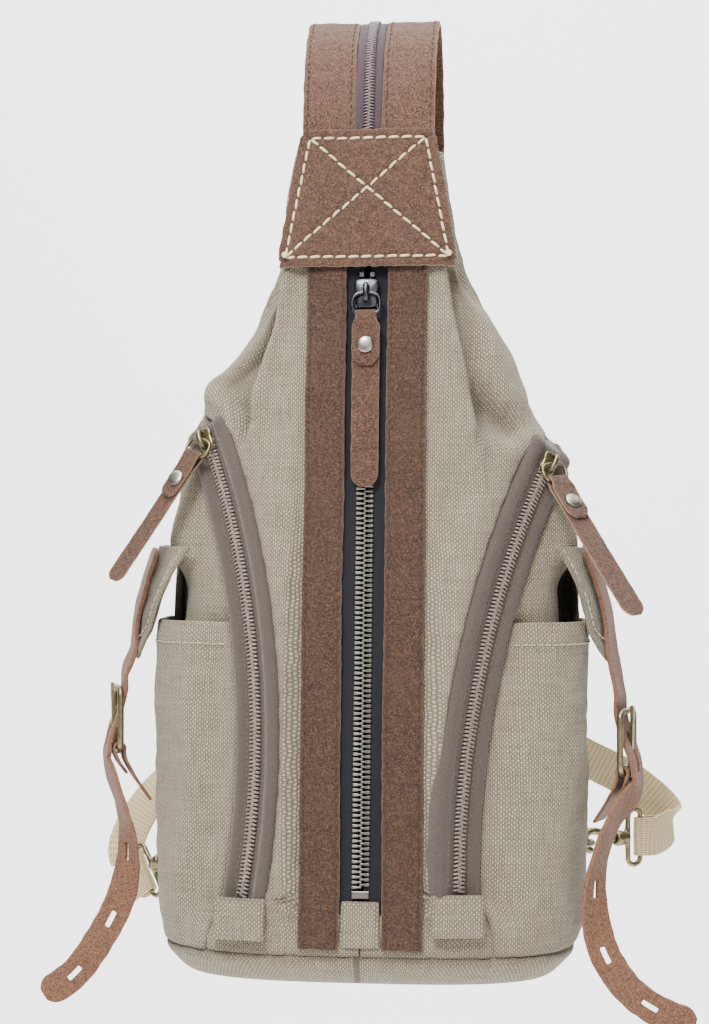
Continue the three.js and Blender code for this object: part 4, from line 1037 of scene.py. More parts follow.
# ------------------------------------------------------------------ leather bands
def catmull(points, steps):
    """The centripetal Catmull-Rom curve that the CAD's straps follow."""
    pts = [np.asarray(p, float) for p in points]
    out = []
    for i in range(steps + 1):
        s = i / steps * (len(pts) - 1)
        k = min(int(s), len(pts) - 2)
        t = s - k
        p1, p2 = pts[k], pts[k + 1]
        p0 = pts[k - 1] if k else 2 * p1 - p2
        p3 = pts[k + 2] if k + 2 < len(pts) else 2 * p2 - p1
        d0, d1, d2 = (np.linalg.norm(b - a) ** 0.5 for a, b in ((p0, p1), (p1, p2), (p2, p3)))
        t1 = ((p1 - p0) / d0 - (p2 - p0) / (d0 + d1) + (p2 - p1) / d1) * d1
        t2 = ((p2 - p1) / d1 - (p3 - p1) / (d1 + d2) + (p3 - p2) / d2) * d1
        out.append(p1 + t1 * t + (3 * (p2 - p1) - 2 * t1 - t2) * t * t
                   + (2 * (p1 - p2) + t1 + t2) * t ** 3)
    return np.array(out)


def band(name, path, across, width, thick, materials, columns=13, slots=(), slot_size=(1.0, 4.5),
         rough=0.22, wobble=0.25, seed=1, soften=1, rim=1):
    """A flat strap along a path. across gives its width direction at each point, slots are
    distances along it where a slot goes through."""
    path = np.asarray(path, float)
    n = len(path)
    way = path_length(path)
    tangent = unit(np.gradient(path, axis=0))
    across = unit(np.broadcast_to(across, path.shape))
    across = unit(across - tangent * np.sum(across * tangent, axis=1, keepdims=True))
    normal = np.cross(across, tangent)
    width = np.broadcast_to(width, (n,)).astype(float)
    if slots:
        half_slot = slot_size[0] / (width.max() / 2)
        side = np.linspace(half_slot, 1, max(3, columns // 2))
        u = np.concatenate([-side[::-1], side])
    else:
        u = np.linspace(-1, 1, columns)
    m = len(u)
    uu = np.repeat(u[None], n, 0)
    ww = np.repeat(way[:, None], m, 1)
    half = width[:, None] / 2
    ragged = 0.6 * rough * waves(ww + 40 * np.sign(uu), ww * 0, seed, 9, 2) * np.abs(uu) ** 6
    out = wobble * waves(ww, uu * half, seed + 1, 26, 2)
    p = (path[:, None] + across[:, None] * (uu * half + np.sign(uu) * ragged)[..., None]
         + normal[:, None] * out[..., None])
    skip = np.zeros((n - 1, m - 1), bool)
    if slots:
        middle = m // 2 - 1
        for s in slots:
            skip[:, middle] |= np.abs((way[:-1] + way[1:]) / 2 - s) < slot_size[1]
    edge = np.clip((np.abs(uu) * half - half + 1.3) / 1.3, 0, 1) ** 2
    obj = sheet(name, p, materials, np.stack([uu * half, ww], -1), edge, True, skip=skip)
    return thicken(obj, thick, offset=0.0, rim=rim, soften=soften), p, normal


def tapered(way, width, start=0.0, end=0.0):
    """Width along a strap with rounded ends; start and end are the radii."""
    out = np.full(len(way), float(width))
    for radius, distance in ((start, way), (end, way[-1] - way)):
        if radius:
            f = np.clip(distance / radius, 0.04, 1)
            out = np.minimum(out, width * np.sqrt(1 - (1 - f) ** 2 * 0.92))
    return out


STRIP_IN, STRIP_OUT, STRIP_LOW, STRIP_TOP, STRIP_THICK = 10.0, 29.5, 18.0, 352.0, 2.2


def build_strips():
    """The two leather strips beside the front zipper."""
    rows = []
    for name, side in SIDE.items():
        y = np.linspace(along(STRIP_LOW), along(STRIP_TOP), 240)
        middle = side * (STRIP_IN + STRIP_OUT) / 2
        sway = 0.5 * waves(y, y * 0, 70 + side, 120, 1)
        lift = 1.35 + 0.35 * waves(y, y * 0, 75 + side, 55, 2)
        path = on_front(middle + sway, y, lift)
        obj, p, _ = band(f"strip_{name}", path, vec(1, 0, 0), STRIP_OUT - STRIP_IN, STRIP_THICK,
                         [SUEDE_STRIP_SHADED, SUEDE_EDGE], 21, seed=80 + side, wobble=0.3, rough=0.25)
        settle(obj, "root", "leather", f"front_strip_{name}")
        for column in (2, 18):
            face = np.broadcast_to(FACE_OUT, p[:, column].shape)
            rows.append((p[:, column] + face * (STRIP_THICK / 2 - 0.1), face))
    settle(stitches("strip_stitches", rows, DARK_THREAD, STRIP_STITCH, 0.1), "root", "leather")


PATCH = dict(low=343.0, top=411.0, bottom=44.5, upper=33.0, face=3.1, thick=3.0)


def build_patch():
    """The leather patch at the top, with its stitched border and cross."""
    low, high = along(PATCH["low"]), along(PATCH["top"])
    n, m = 90, 90
    s, t = np.meshgrid(np.linspace(0, 1, n), np.linspace(-1, 1, m), indexing="ij")
    corner = 0.965
    squeeze = np.where((np.abs(t) > 0.9) & ((s < 0.05) | (s > 0.95)), corner, 1)
    half = PATCH["bottom"] + (PATCH["upper"] - PATCH["bottom"]) * s
    ragged = 0.3 * waves(s * 68, t * 90, 91, 6, 2)
    x = t * half * squeeze + ragged * np.abs(t) ** 8
    y = low + (high - low) * s + ragged * np.abs(2 * s - 1) ** 8
    sink = -2.2 * ease(np.abs(x), 33, 45)
    lift = PATCH["face"] + PATCH["thick"] / 2 + 0.35 * waves(x, y, 92, 34) + sink

    def groove(a, b, depth=0.6, width=1.5):
        a, b = np.array(a), np.array(b)
        d = (b - a) / np.linalg.norm(b - a)
        along_it = np.clip((x - a[0]) * d[0] + (y - a[1]) * d[1], 0, np.linalg.norm(b - a))
        gap = np.hypot(x - a[0] - along_it * d[0], y - a[1] - along_it * d[1])
        return -depth * np.exp(-(gap / width) ** 2)
    inset = 4.6
    corners = [(-PATCH["bottom"] + inset, low + inset), (PATCH["bottom"] - inset, low + inset),
               (PATCH["upper"] - inset, high - inset), (-PATCH["upper"] + inset, high - inset)]
    lines = [(corners[k], corners[(k + 1) % 4]) for k in range(4)]
    lines += [(corners[0], corners[2]), (corners[1], corners[3])]
    for a, b in lines:
        lift = lift + groove(a, b)
    p = on_front(x, y, lift)
    gap = np.minimum(half - np.abs(x), np.minimum(y - low, high - y))
    edge = np.clip(1 - gap / 1.4, 0, 1) ** 2
    obj = sheet("patch", p, [SUEDE_PATCH_SHADED, SUEDE_EDGE], np.stack([x, y], -1), edge, True)
    settle(thicken(obj, PATCH["thick"], offset=0.0, rim=1), "root", "leather", "top_patch")

    rows = []
    for a, b in lines:
        f = np.linspace(0, 1, 60)[:, None]
        line = np.array(a) + (np.array(b) - np.array(a)) * f
        k = np.stack([np.interp(line[:, 1], y[:, 0], np.arange(n)),
                      (line[:, 0] / np.interp(line[:, 1], y[:, 0], half[:, 0]) + 1) / 2 * (m - 1)])
        height = lift[np.clip(k[0].round().astype(int), 0, n - 1),
                      np.clip(k[1].round().astype(int), 0, m - 1)] + PATCH["thick"] / 2
        rows.append((on_front(line[:, 0], line[:, 1], height), FACE_OUT))
    thread = stitches("patch_stitches", rows, THREAD, PATCH_STITCH, 0.35, 0.25)
    settle(thread, "root", "leather")
    knots = []
    for x0, y0 in corners[:2]:
        centre = on_front(x0, y0 + 1.2, PATCH["face"] + PATCH["thick"] - 0.2)
        a = np.linspace(0, 2 * np.pi, 10, endpoint=False)
        loop = centre + 1.0 * (np.cos(a)[:, None] * vec(1, 0, 0)
                               + np.sin(a)[:, None] * vec(0, math.sin(LEAN), math.cos(LEAN)))
        knots.append(tube(loop, FACE_OUT, 0.7, 8, closed=True))
        inner = loop * 0.6 + (centre + FACE_OUT * 0.7) * 0.4
        knots.append(tube(inner, FACE_OUT, 0.62, 8, closed=True))
    settle(make("patch_knots", *merge(knots), THREAD), "root", "leather")


STRAP_IN, STRAP_OUT, STRAP_OFF = 6.8, 33.0, 1.75


def strap_path():
    """The middle of the strap, from under the patch over the top and down the back."""
    def on_face(z):
        return vec(0, -front_depth(z) - STRAP_OFF / math.cos(LEAN), z)
    over = catmull([on_face(412), vec(0, -12, 436), vec(0, 0, 459), vec(0, 20, 472.5),
                    vec(0, 38, 466), vec(0, 49, 446), vec(0, 53.5, 424), vec(0, 55, 404)], 90)[1:]
    path = np.concatenate([[on_face(358), on_face(385), on_face(412)], over, [vec(0, 60, 196)]])
    return smoothed(resample(path, step=1.6), 4)


def build_strap():
    path = strap_path()
    way = path_length(path)
    rows = []
    middle, width = (STRAP_IN + STRAP_OUT) / 2, STRAP_OUT - STRAP_IN
    for name, side in SIDE.items():
        sway = 0.35 * waves(way, way * 0, 100 + side, 90, 1)
        line = path + vec(1, 0, 0) * (side * middle + sway)[:, None]
        obj, p, normal = band(f"strap_{name}", line, vec(1, 0, 0), width, 2.2, [SUEDE, SUEDE_EDGE],
                              23, seed=102 + side, wobble=0.28, rough=0.3)
        settle(obj, "root", "leather", f"strap_leather_{name}")
        for column in (2, 20):
            rows.append((p[:, column] + normal * 1.05, normal))
    settle(stitches("strap_stitches", rows, DARK_THREAD, STRAP_STITCH, 0.1), "root", "leather")
    tape, _, _ = band("strap_tape", path, vec(1, 0, 0), 2 * STRAP_IN - 0.6, 1.1, PLUM, 9,
                           wobble=0.0, rough=0.0, rim=0, soften=0)
    settle(tape, "root", "purple_tape", "strap_zip_tape")
    begin = np.searchsorted(way, 44)
    settle(coil("strap_coil", path[begin:-4], vec(1, 0, 0), COIL_PLUM, 1.6), "root", "purple_tape")


# ------------------------------------------------------------------ zippers
def coil(name, path, across, material, pitch, reach=2.7, height=1.35, wire=0.52):
    """Both halves of a coil zipper: a small loop of monofilament for each turn."""
    path, across = evenly(path, across, pitch / 2)
    tangent = unit(np.gradient(path, axis=0))
    across = unit(across - tangent * np.sum(across * tangent, axis=1, keepdims=True))
    normal = np.cross(across, tangent)
    loop = [(2.55, 0.1, -0.3), (2.45, 0.85, -0.2), (1.7, 1.0, -0.05), (0.75, 1.0, 0.05),
            (-0.2, 0.95, 0.1), (-0.75, 0.5, 0.2), (-0.5, -0.1, 0.25)]
    parts = []
    for i in range(1, len(path) - 1):
        side = 1 if i % 2 else -1
        pts = [path[i] + across[i] * side * x * reach / 2.7 + normal[i] * h * height
               + tangent[i] * y * pitch * 0.7 for x, h, y in loop]
        v, f = tube(pts, tangent[i], wire, 5, [0.9, 1, 1, 1, 1.15, 1.1, 0.7])
        parts.append((v, f + [tuple(range(4, -1, -1)), tuple(range(30, 35))]))
    return make(name, *merge(parts), material)


TAPE_Z, CHAIN_LOW, CHAIN_TOP = -1.6, -155.6, 139.4


def tooth(y, side):
    """One moulded tooth of the centre chain, gripping the tape's edge."""
    stations = [(-0.55, 0.36, 1.35), (-0.2, 0.52, 1.55), (0.5, 0.5, 1.6), (0.95, 0.4, 1.65),
                (1.5, 0.52, 1.85), (3.3, 0.72, 2.3), (3.9, 0.74, 2.35), (4.25, 0.55, 2.1)]
    rings = []
    for x, half, tall in stations:
        c = 0.3
        outline = [(half - c, tall), (half, tall - c), (half, -tall + c), (half - c, -tall),
                   (-half + c, -tall), (-half, -tall + c), (-half, tall - c), (-half + c, tall)]
        rings.append([(side * x, y + a, TAPE_Z + b) for a, b in outline])
    r = np.array(rings)
    verts = on_front(r[..., 0], r[..., 1], r[..., 2]).reshape(-1, 3)
    faces = [tuple(f) for f in grid_faces(len(stations), 8, side > 0, wrap=True)]
    caps = [tuple(range(8)), tuple(range(63, 55, -1))]
    return verts, faces + (caps if side > 0 else [c[::-1] for c in caps])


def block(x0, x1, y0, y1, z0, z1, chamfer=0.3):
    """A chamfered block in the frame of the front face."""
    rings = []
    for z, inset in ((z0, 0), (z1 - chamfer, 0), (z1, chamfer)):
        a, b, c, d = x0 + inset, x1 - inset, y0 + inset, y1 - inset
        rings.append([(a, c, z), (b, c, z), (b, d, z), (a, d, z)])
    r = np.array(rings)
    verts = on_front(r[..., 0], r[..., 1], r[..., 2]).reshape(-1, 3)
    faces = [tuple(f) for f in grid_faces(3, 4, False, wrap=True)]
    return verts, faces + [(3, 2, 1, 0), (8, 9, 10, 11)]


def build_front_zip():
    """The front zipper's moulded teeth, stops, tapes and tab."""
    pitch = 2.4
    count = int((CHAIN_TOP - CHAIN_LOW - 2) / pitch)
    parts = []
    for k in range(count):
        y = CHAIN_LOW + 1.6 + pitch * k
        parts.append(tooth(y, -1))
        parts.append(tooth(y + pitch / 2, 1))
    parts.append(block(-4.1, 4.1, -159.2, -155.8, -0.7, 0.9))
    teeth = make("front_teeth", *merge(parts), NICKEL, smooth=False)
    settle(teeth, "root", "bright_metal", "front_zip_teeth")
    stops = [block(x - 1.3, x + 1.3, 139.2, 141.9, -0.7, 1.4) for x in (-2.6, 2.6)]
    settle(make("front_stops", *merge(stops), GUNMETAL, smooth=False), "root", "gunmetal")

    y = np.linspace(along(33), along(345), 160)
    for name, side in SIDE.items():
        x = np.array([1.6, 3.0, 4.6, 5.4, 7.0, 8.6, 10.2, 12.9])
        rise = np.array([0.0, 0.1, 0.55, 0.2, 0.05, 0.1, 0.3, 0.5])
        xx, yy = np.meshgrid(x, y)
        out = TAPE_Z - 0.1 + rise[None] + 0.12 * waves(xx, yy, 110 + side, 12, 2)
        obj = sheet(f"front_tape_{name}", on_front(side * xx, yy, out), NAVY,
                    np.stack([side * xx, yy], -1), flip=side < 0)
        settle(thicken(obj, 1.0, offset=0.0), "root", "navy_tape")
    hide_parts("front_zip_tape")
    foot, top = along(19), along(40)
    build_tab("front_tab", on_front, [(-9.4, foot), (9.4, foot), (8.4, top), (-8.4, top)], 0.1,
              "front_zip_tab")


def build_tab(name, place, outline, face, node):
    """A little canvas tab with turned edges, over the lower end of a zipper."""
    low_left, low_right, top_right, top_left = (np.array(c, float) for c in outline)
    n, m = 26, 26
    s, t = np.meshgrid(np.linspace(0, 1, n), np.linspace(0, 1, m), indexing="ij")
    left = low_left + (top_left - low_left) * s[..., None]
    right = low_right + (top_right - low_right) * s[..., None]
    xy = left + (right - left) * t[..., None]
    x, y = xy[..., 0], xy[..., 1]
    span = np.linalg.norm(low_right - low_left)
    gap = np.minimum(np.minimum(t, 1 - t) * span, (1 - s) * np.linalg.norm(top_left - low_left))
    out = face + 0.2 - 1.1 * np.clip(1 - gap / 1.8, 0, 1) ** 2 + 0.15 * waves(x, y, 120, 9, 2)
    obj = sheet(name, place(x, y, out), CANVAS, xy, np.exp(-(gap / 1.4) ** 2), True)
    settle(thicken(obj, 1.3), "root", "canvas", node)


# The taupe tape's section: distance from its middle, and rise over the chain's plane.
PIPING_X = [0, 2.6, 4.2, 5.3, 5.9, 6.9, 8.3, 9.9, 11.3, 12.2, 12.6, 12.8]
PIPING_RISE = [-0.25, 0, 0.1, 0.0, 0.6, 1.35, 1.85, 1.75, 1.1, 0.0, -1.2, -3.5]
WALL = 5.5                 # how far the tape's edges go down beside the canvas
POCKET_TAB = dict(foot=12.0, top=11.5, tall=19.0, above=3.2, face=5.0)


def build_pocket_zips():
    """The curved pocket zippers' piped tapes, coils and tabs."""
    for name, zp in ZIPS.items():
        side, radius = zp["side"], zp["radius"]
        degrees = np.linspace(zp["start"], zp["end"], 150)[:, None]
        x = np.concatenate([-np.array(PIPING_X[:0:-1]), PIPING_X])[None]
        lengthwise = np.radians(degrees - zp["start"]) * radius
        close = ease(lengthwise, lengthwise.max() - 9, lengthwise.max())
        swell = 1 + 0.12 * waves(lengthwise + 40 * np.sign(x), x * 0, 115 + side, 24, 2)
        rise = np.interp(np.abs(x), PIPING_X, PIPING_RISE) * swell - 8 * close ** 1.5
        rise[:, -1] -= WALL
        p = on_zip(zp, radius + x * (1 - 0.4 * close ** 2), degrees, rise)
        uv = np.stack(np.broadcast_arrays(x, lengthwise), -1)
        obj = sheet(f"pocket_tape_{name}", p, TAUPE, uv, flip=side > 0)
        settle(thicken(obj, 0.9), "root", "taupe_tape", f"pocket_zip_{name}")
        d = np.linspace(zp["start"] + 0.5, zp["park"] + 0.4, 200)
        across = unit(on_zip(zp, radius, d, 0) - on_zip(zp, radius + 5, d, 0)) * side
        settle(coil(f"pocket_coil_{name}", on_zip(zp, radius, d, 0.1), across, COIL_TAUPE, 1.9, 3.0,
                    1.4, 0.58), "root", "taupe_tape")
        dd = np.linspace(zp["start"] + 0.4, zp["end"] - 1.4, 160)
        rows = [(on_zip(zp, radius + a, dd, 0.2), zip_axes(zp)[2]) for a in (-5.3, 5.3)]
        settle(stitches(f"pocket_zip_stitches_{name}", rows, TAUPE_THREAD, TAPE_STITCH, 0.1),
               "root", "taupe_tape")

        tab, foot = POCKET_TAB, on_zip(zp, radius, zp["start"], 0)
        top = foot[2] + tab["above"]
        corners = [(foot[0] - 0.1 * side + x, top - tab["tall"])
                   for x in (-tab["foot"], tab["foot"])]
        corners += [(foot[0] - side + x, top) for x in (tab["top"], -tab["top"])]
        build_tab(f"pocket_tab_{name}", skin_patch, corners, tab["face"], f"pocket_zip_tab_{name}")


def skin_patch(x, z, out):
    """Points on the front of the body at given x and z, standing out from it."""
    half, power = station("half", z), station("power", z)
    front, back = front_depth(z), station("back", z)
    middle, depth = (back - front) / 2, (back + front) / 2
    reach = np.maximum(0, 1 - np.abs(x / half) ** power) ** (1 / power)
    normal = unit(np.stack([np.sign(x) * np.abs(x / half) ** (power - 1) / half,
                            -(reach ** (power - 1)) / depth, np.zeros_like(x)], -1))
    return np.stack([x, middle - depth * reach, z], -1) + normal * out[..., None]


# ------------------------------------------------------------------ zipper pulls
def frame_matrix(origin, x_axis, y_axis, z_axis):
    m = Matrix((x_axis, y_axis, z_axis)).transposed().to_4x4()
    m.translation = Vector(origin)
    return m


def through(matrix, points):
    a = np.array(matrix)
    return np.asarray(points, float) @ a[:3, :3].T + a[:3, 3]


def turned(matrix, points):
    return np.asarray(points, float) @ np.array(matrix)[:3, :3].T


def slider_matrix(name):
    if name == "front":
        x, y, z = (on_front(*c) - on_front(0, 0, 0) for c in ((1, 0, 0), (0, 1, 0), (0, 0, 1)))
        return frame_matrix(on_front(0, 131, TAPE_Z), x, y, z)
    zp = ZIPS[name]
    across, up, outward = zip_axes(zp)
    base = frame_matrix(on_zip(zp, zp["radius"], zp["park"], 0), across, up, outward)
    return base @ Matrix.Rotation(math.radians(-zp["side"] * zp["park"]), 4, "Z")


PULLS = {
    "front": dict(crown=5.8, yaw=0, ring=0, pull=0, drop=11, length=84, width=13.5),
    "left": dict(crown=4.8, yaw=-0.78, ring=0.35, pull=0.1, drop=9, length=74, width=9.5),
    "right": dict(crown=4.8, yaw=0.6, ring=0.4, pull=0.3, drop=9, length=84, width=12.5),
}


def ring_matrix(name):
    s = PULLS[name]
    return (slider_matrix(name) @ Matrix.Translation((0, 0, s["crown"]))
            @ Matrix.Rotation(s["yaw"], 4, "Z") @ Matrix.Rotation(-s["ring"], 4, "X"))


def pull_matrix(name):
    s = PULLS[name]
    return (ring_matrix(name) @ Matrix.Translation((0, -s["drop"], 0))
            @ Matrix.Rotation(-s["pull"], 4, "X"))


CHAINS = {"front": (4.0, 2.5, 15.0), "left": (2.6, 1.5, 11.0), "right": (2.6, 1.5, 11.0),
          "strap": (2.6, 1.5, 11.0)}


def box_part(low, high):
    verts = [vec(x, y, z) for z in (low[2], high[2]) for x, y in (
        (low[0], low[1]), (high[0], low[1]), (high[0], high[1]), (low[0], high[1]))]
    return np.array(verts), [tuple(f) for f in grid_faces(2, 4, False, wrap=True)] + [
        (3, 2, 1, 0), (4, 5, 6, 7)]


def round_corners(points, times=3):
    for _ in range(times):
        after = np.roll(points, -1, 0)
        points = np.stack([points * 0.78 + after * 0.22, points * 0.22 + after * 0.78], 1
                          ).reshape(-1, 2)
    return points


def build_slider(name):
    """A zipper slider: two pillowed plates, side flanges and an arched crown for the ring."""
    half, thick, length = CHAINS[name]
    shoulder_, waist, h = half + 2.3, half + 1.5, length / 2
    right = [(waist, -h), (waist, 0.1 * h), (shoulder_, 0.5 * h), (shoulder_ - 0.8, h)]
    outline = round_corners(np.array(right + [(-x, y) for x, y in reversed(right)]))
    inside, outside = thick + 0.4, thick + 1.9
    profile = [(inside, 0.02), (inside, 0.97), (inside + 0.3, 1.0), (outside - 0.6, 1.0),
               (outside - 0.15, 0.94), (outside + 0.12, 0.8), (outside + 0.3, 0.4),
               (outside + 0.34, 0.02)]
    parts = []
    for face in (1, -1):
        rings = np.array([[(x * f, y * f, face * z) for x, y in outline] for z, f in profile])
        parts.append((rings.reshape(-1, 3), [tuple(f) for f in grid_faces(
            len(rings), len(outline), face < 0, wrap=True)]))
    for x in (-waist, half + 0.4):
        for low, high in ((-inside - 0.2, -1.0), (1.0, inside + 0.2)):
            parts.append(box_part((x, -h + 0.3, low), (x + waist - half - 0.4, 0.1 * h, high)))
    parts.append(box_part((-0.45, h * 0.2, -outside + 0.2), (0.45, h * 0.8, outside - 0.2)))
    arch = catmull([vec(0, y, outside + z) for y, z in ((-4.3, -0.4), (-4.2, 2.0), (-3.2, 3.5), (
        0, 4.1), (3.2, 3.5), (4.2, 2.0), (4.3, -0.4))], 30)
    wide = 1 + 0.35 * np.sin(np.linspace(0, np.pi, 31))
    v, f = tube(arch, vec(1, 0, 0), 0.85, 12, wide)
    parts.append((v * [1.25, 1, 1], f))
    verts, faces = merge(parts)
    if name == "strap":
        down = unit(vec(0, 5, -208))
        outward = np.cross(vec(-1, 0, 0), -down)
        matrix = frame_matrix(vec(0, 60, 196) - down * 16, vec(-1, 0, 0), -down, outward)
    else:
        matrix = slider_matrix(name)
    finish, slot = (GUNMETAL, "gunmetal") if name == "front" else (BRASS, "antique_brass")
    obj = make(f"{name}_slider_shell", through(matrix, verts), faces, finish)
    settle(obj, f"{name}_slider", slot, f"{name}_slider")
    if name == "strap":
        return
    width, height = (13.4, 11.0) if name == "front" else (13.2, 9.0)
    a = np.linspace(0, 2 * np.pi, 72, endpoint=False)
    loop = np.stack([width / 2 * np.sign(np.cos(a)) * np.abs(np.cos(a)) ** 0.72,
                     height / 2 * (np.sign(np.sin(a)) * np.abs(np.sin(a)) ** 0.72 - 1), 0 * a], -1)
    v, f = tube(loop, vec(0, 0, 1), 0.88, 10, closed=True)
    obj = make(f"{name}_ring_wire", through(ring_matrix(name), v), f, finish)
    settle(obj, f"{name}_ring", slot, f"{name}_pull_ring")


LAYER, FOLD, NECK, SHORT, RIVET_Y = 0.95, 2.0, 10.0, 25.0, -15.0


def build_pulls():
    """Each zipper's slider, ring, folded leather pull and rivet."""
    for name, spec in PULLS.items():
        length, width = spec["length"], spec["width"]
        a = np.radians(90 - 15 * np.arange(13))
        fold = np.stack([FOLD * np.cos(a), FOLD * np.sin(a)], -1)
        front = [(-SHORT, LAYER), (-16, LAYER), (-8, LAYER), (-3, FOLD - 0.2)]
        back = [(-3, -FOLD + 0.2), (-8, -LAYER), (-20, -LAYER), (-length * 0.55, -LAYER - 0.3),
                (-length, -LAYER)]
        yz = smoothed(resample(np.concatenate([front, fold, back]), step=0.8), 2)
        path = np.stack([np.zeros(len(yz)), yz[:, 0], yz[:, 1]], -1)
        way = path_length(path)
        body = np.where(path[:, 1] > -5, NECK + (width - NECK) * ease(-path[:, 1], 1, 6), width)
        wide = np.minimum(body, tapered(way, width, width / 2, width / 2))
        m = pull_matrix(name)
        side = turned(m, [(1, 0, 0)])[0]
        thick = 1.5
        obj, _, _ = band(f"{name}_pull_leather", through(m, path), side, wide, thick,
                         [SUEDE_PATCH_SHADED, SUEDE_EDGE], 15, seed=130 + len(name), rough=0.18,
                         wobble=0.0)
        settle(obj, f"{name}_pull", "leather", f"{name}_pull")
        build_slider(name)
        profile = [(0, 1.05), (2.0, 1.0), (3.1, 0.85), (3.7, 0.55), (4.0, 0.2), (4.05, -0.2)]
        face = LAYER + thick / 2
        rings = []
        for r, h in reversed(profile):
            t = np.linspace(0, 2 * np.pi, 28, endpoint=False)
            rr = max(r, 0.02)
            rings.append(through(m, np.stack([rr * np.cos(t), RIVET_Y + rr * np.sin(t),
                                              np.full(28, face + 0.1 + h)], -1)))
        r = np.array(rings)
        settle(make(f"{name}_rivet_cap", r.reshape(-1, 3), grid_faces(len(r), 28, False, wrap=True),
                    RIVET), f"{name}_pull", "bright_metal")
    build_slider("strap")


# ------------------------------------------------------------------ side pocket flaps
FLAPS = {
    "left": dict(side=-1, buckle=vec(-127, -10, 121), slots=(0.36, 0.62, 0.86), tail=[
        (-125, -19, 84), (-119.5, -23, 64), (-120, -27, 40), (-131, -31, 15), (-144, -34, -3),
        (-158, -37, -12.5)]),
    "right": dict(side=1, buckle=vec(126, -10, 112), slots=(0.4, 0.62, 0.84), tail=[
        (121, -22, 78), (113, -30, 60), (110, -36, 38), (114, -39, 16), (126, -41, -2),
        (141, -43, -12), (157, -45, -17)]),
}
YAW, BAR = 0.35, 14.9
FLAP_FRONT = {-1: (-30, -26), 1: (-27, -24)}


def side_point(side, y, z, out):
    half, power = station("half", z), station("power", z)
    middle = (station("back", z) - front_depth(z)) / 2
    depth = (station("back", z) + front_depth(z)) / 2
    v = (y - middle) / depth
    reach = np.maximum(0, 1 - np.abs(v) ** power) ** (1 / power)
    normal = unit(np.stack([side * reach ** (power - 1) / half,
                            np.sign(v) * np.abs(v) ** (power - 1) / depth, 0 * v], -1))
    return np.stack([side * half * reach, y, z + 0 * y], -1) + normal * out


def flap_point(side, t, s):
    t, s = np.broadcast_arrays(np.asarray(t, float), np.asarray(s, float))
    top_y, foot_y = FLAP_FRONT[side]
    top = side_point(side, lerp(top_y, 11, t ** 1.5), FLAP_SEAM_Z, 3.2)
    tip = np.sin(t * np.pi)
    foot = np.stack([side * (106 + 7 * t + 7 * tip), lerp(foot_y, 9, t), 166 - 16 * tip], -1)
    p = top + (foot - top) * s[..., None]
    return p + np.stack([side * 3 * np.sin(s * np.pi), 0 * s, 0 * s], -1)


def flap_normal(side, t, s, step=0.06):
    def c(v):
        return np.clip(v, 0, 1)
    edge = flap_point(side, c(t + step), s) - flap_point(side, c(t - step), s)
    down = flap_point(side, t, c(s + step)) - flap_point(side, t, c(s - step))
    return unit(np.cross(down, edge) * side)


def build_flaps():
    """The side pockets' flaps."""
    for name, spec in FLAPS.items():
        side = spec["side"]
        n, m = 60, 56
        s, t = np.meshgrid(np.linspace(0, 1, n), np.linspace(0, 1, m), indexing="ij")
        base = flap_point(side, t, s)
        normal = flap_normal(side, t, s)
        downs = np.linalg.norm(base[-1] - base[0], axis=1)[None] * (1 - s)
        across = reach(base, 0)
        gap = np.minimum(downs, np.minimum(across, reach(base, -1)))
        hem = 1 - ease(gap, 8.0, 9.2)
        roll = np.clip(1 - gap / 1.8, 0, 1) ** 2
        out = 1.25 + 0.55 * hem - 1.1 * roll + 0.5 * waves(across, downs, 150 + side, 22, 2) * ease(
            gap, 0, 6) - 0.5 * np.exp(-((gap - 8.6) / 0.8) ** 2)
        p = base + normal * out[..., None]
        down_uv = reach(base.swapaxes(0, 1), 0).T
        obj = sheet(f"flap_canvas_{name}", p, CANVAS, np.stack([across, down_uv], -1),
                    np.exp(-(gap / 1.6) ** 2), side > 0)
        settle(thicken(obj, 2.4), f"flap_{name}", "canvas", f"flap_{name}")
        lines = []
        k = np.linspace(0, 1, 80)
        loops = [(0.13 + 0 * k, 0.02 + 0.8 * k), (0.13 + 0.74 * k, 0.82 + 0 * k),
                 (0.87 + 0 * k, 0.82 - 0.8 * k)]
        for tt, ss in loops:
            q, nn = flap_point(side, tt, ss), flap_normal(side, tt, ss)
            lines.append((q + nn * 1.75, nn))
        settle(stitches(f"flap_stitches_{name}", lines, CANVAS_THREAD, FLAP_STITCH),
               f"flap_{name}", "canvas")
        build_flap_strap(name, spec)


def buckle_matrix(spec):
    outward = vec(spec["side"] * math.cos(YAW), -math.sin(YAW), 0)
    up = vec(0, 0, 1)
    return frame_matrix(spec["buckle"], np.cross(up, outward), up, outward)


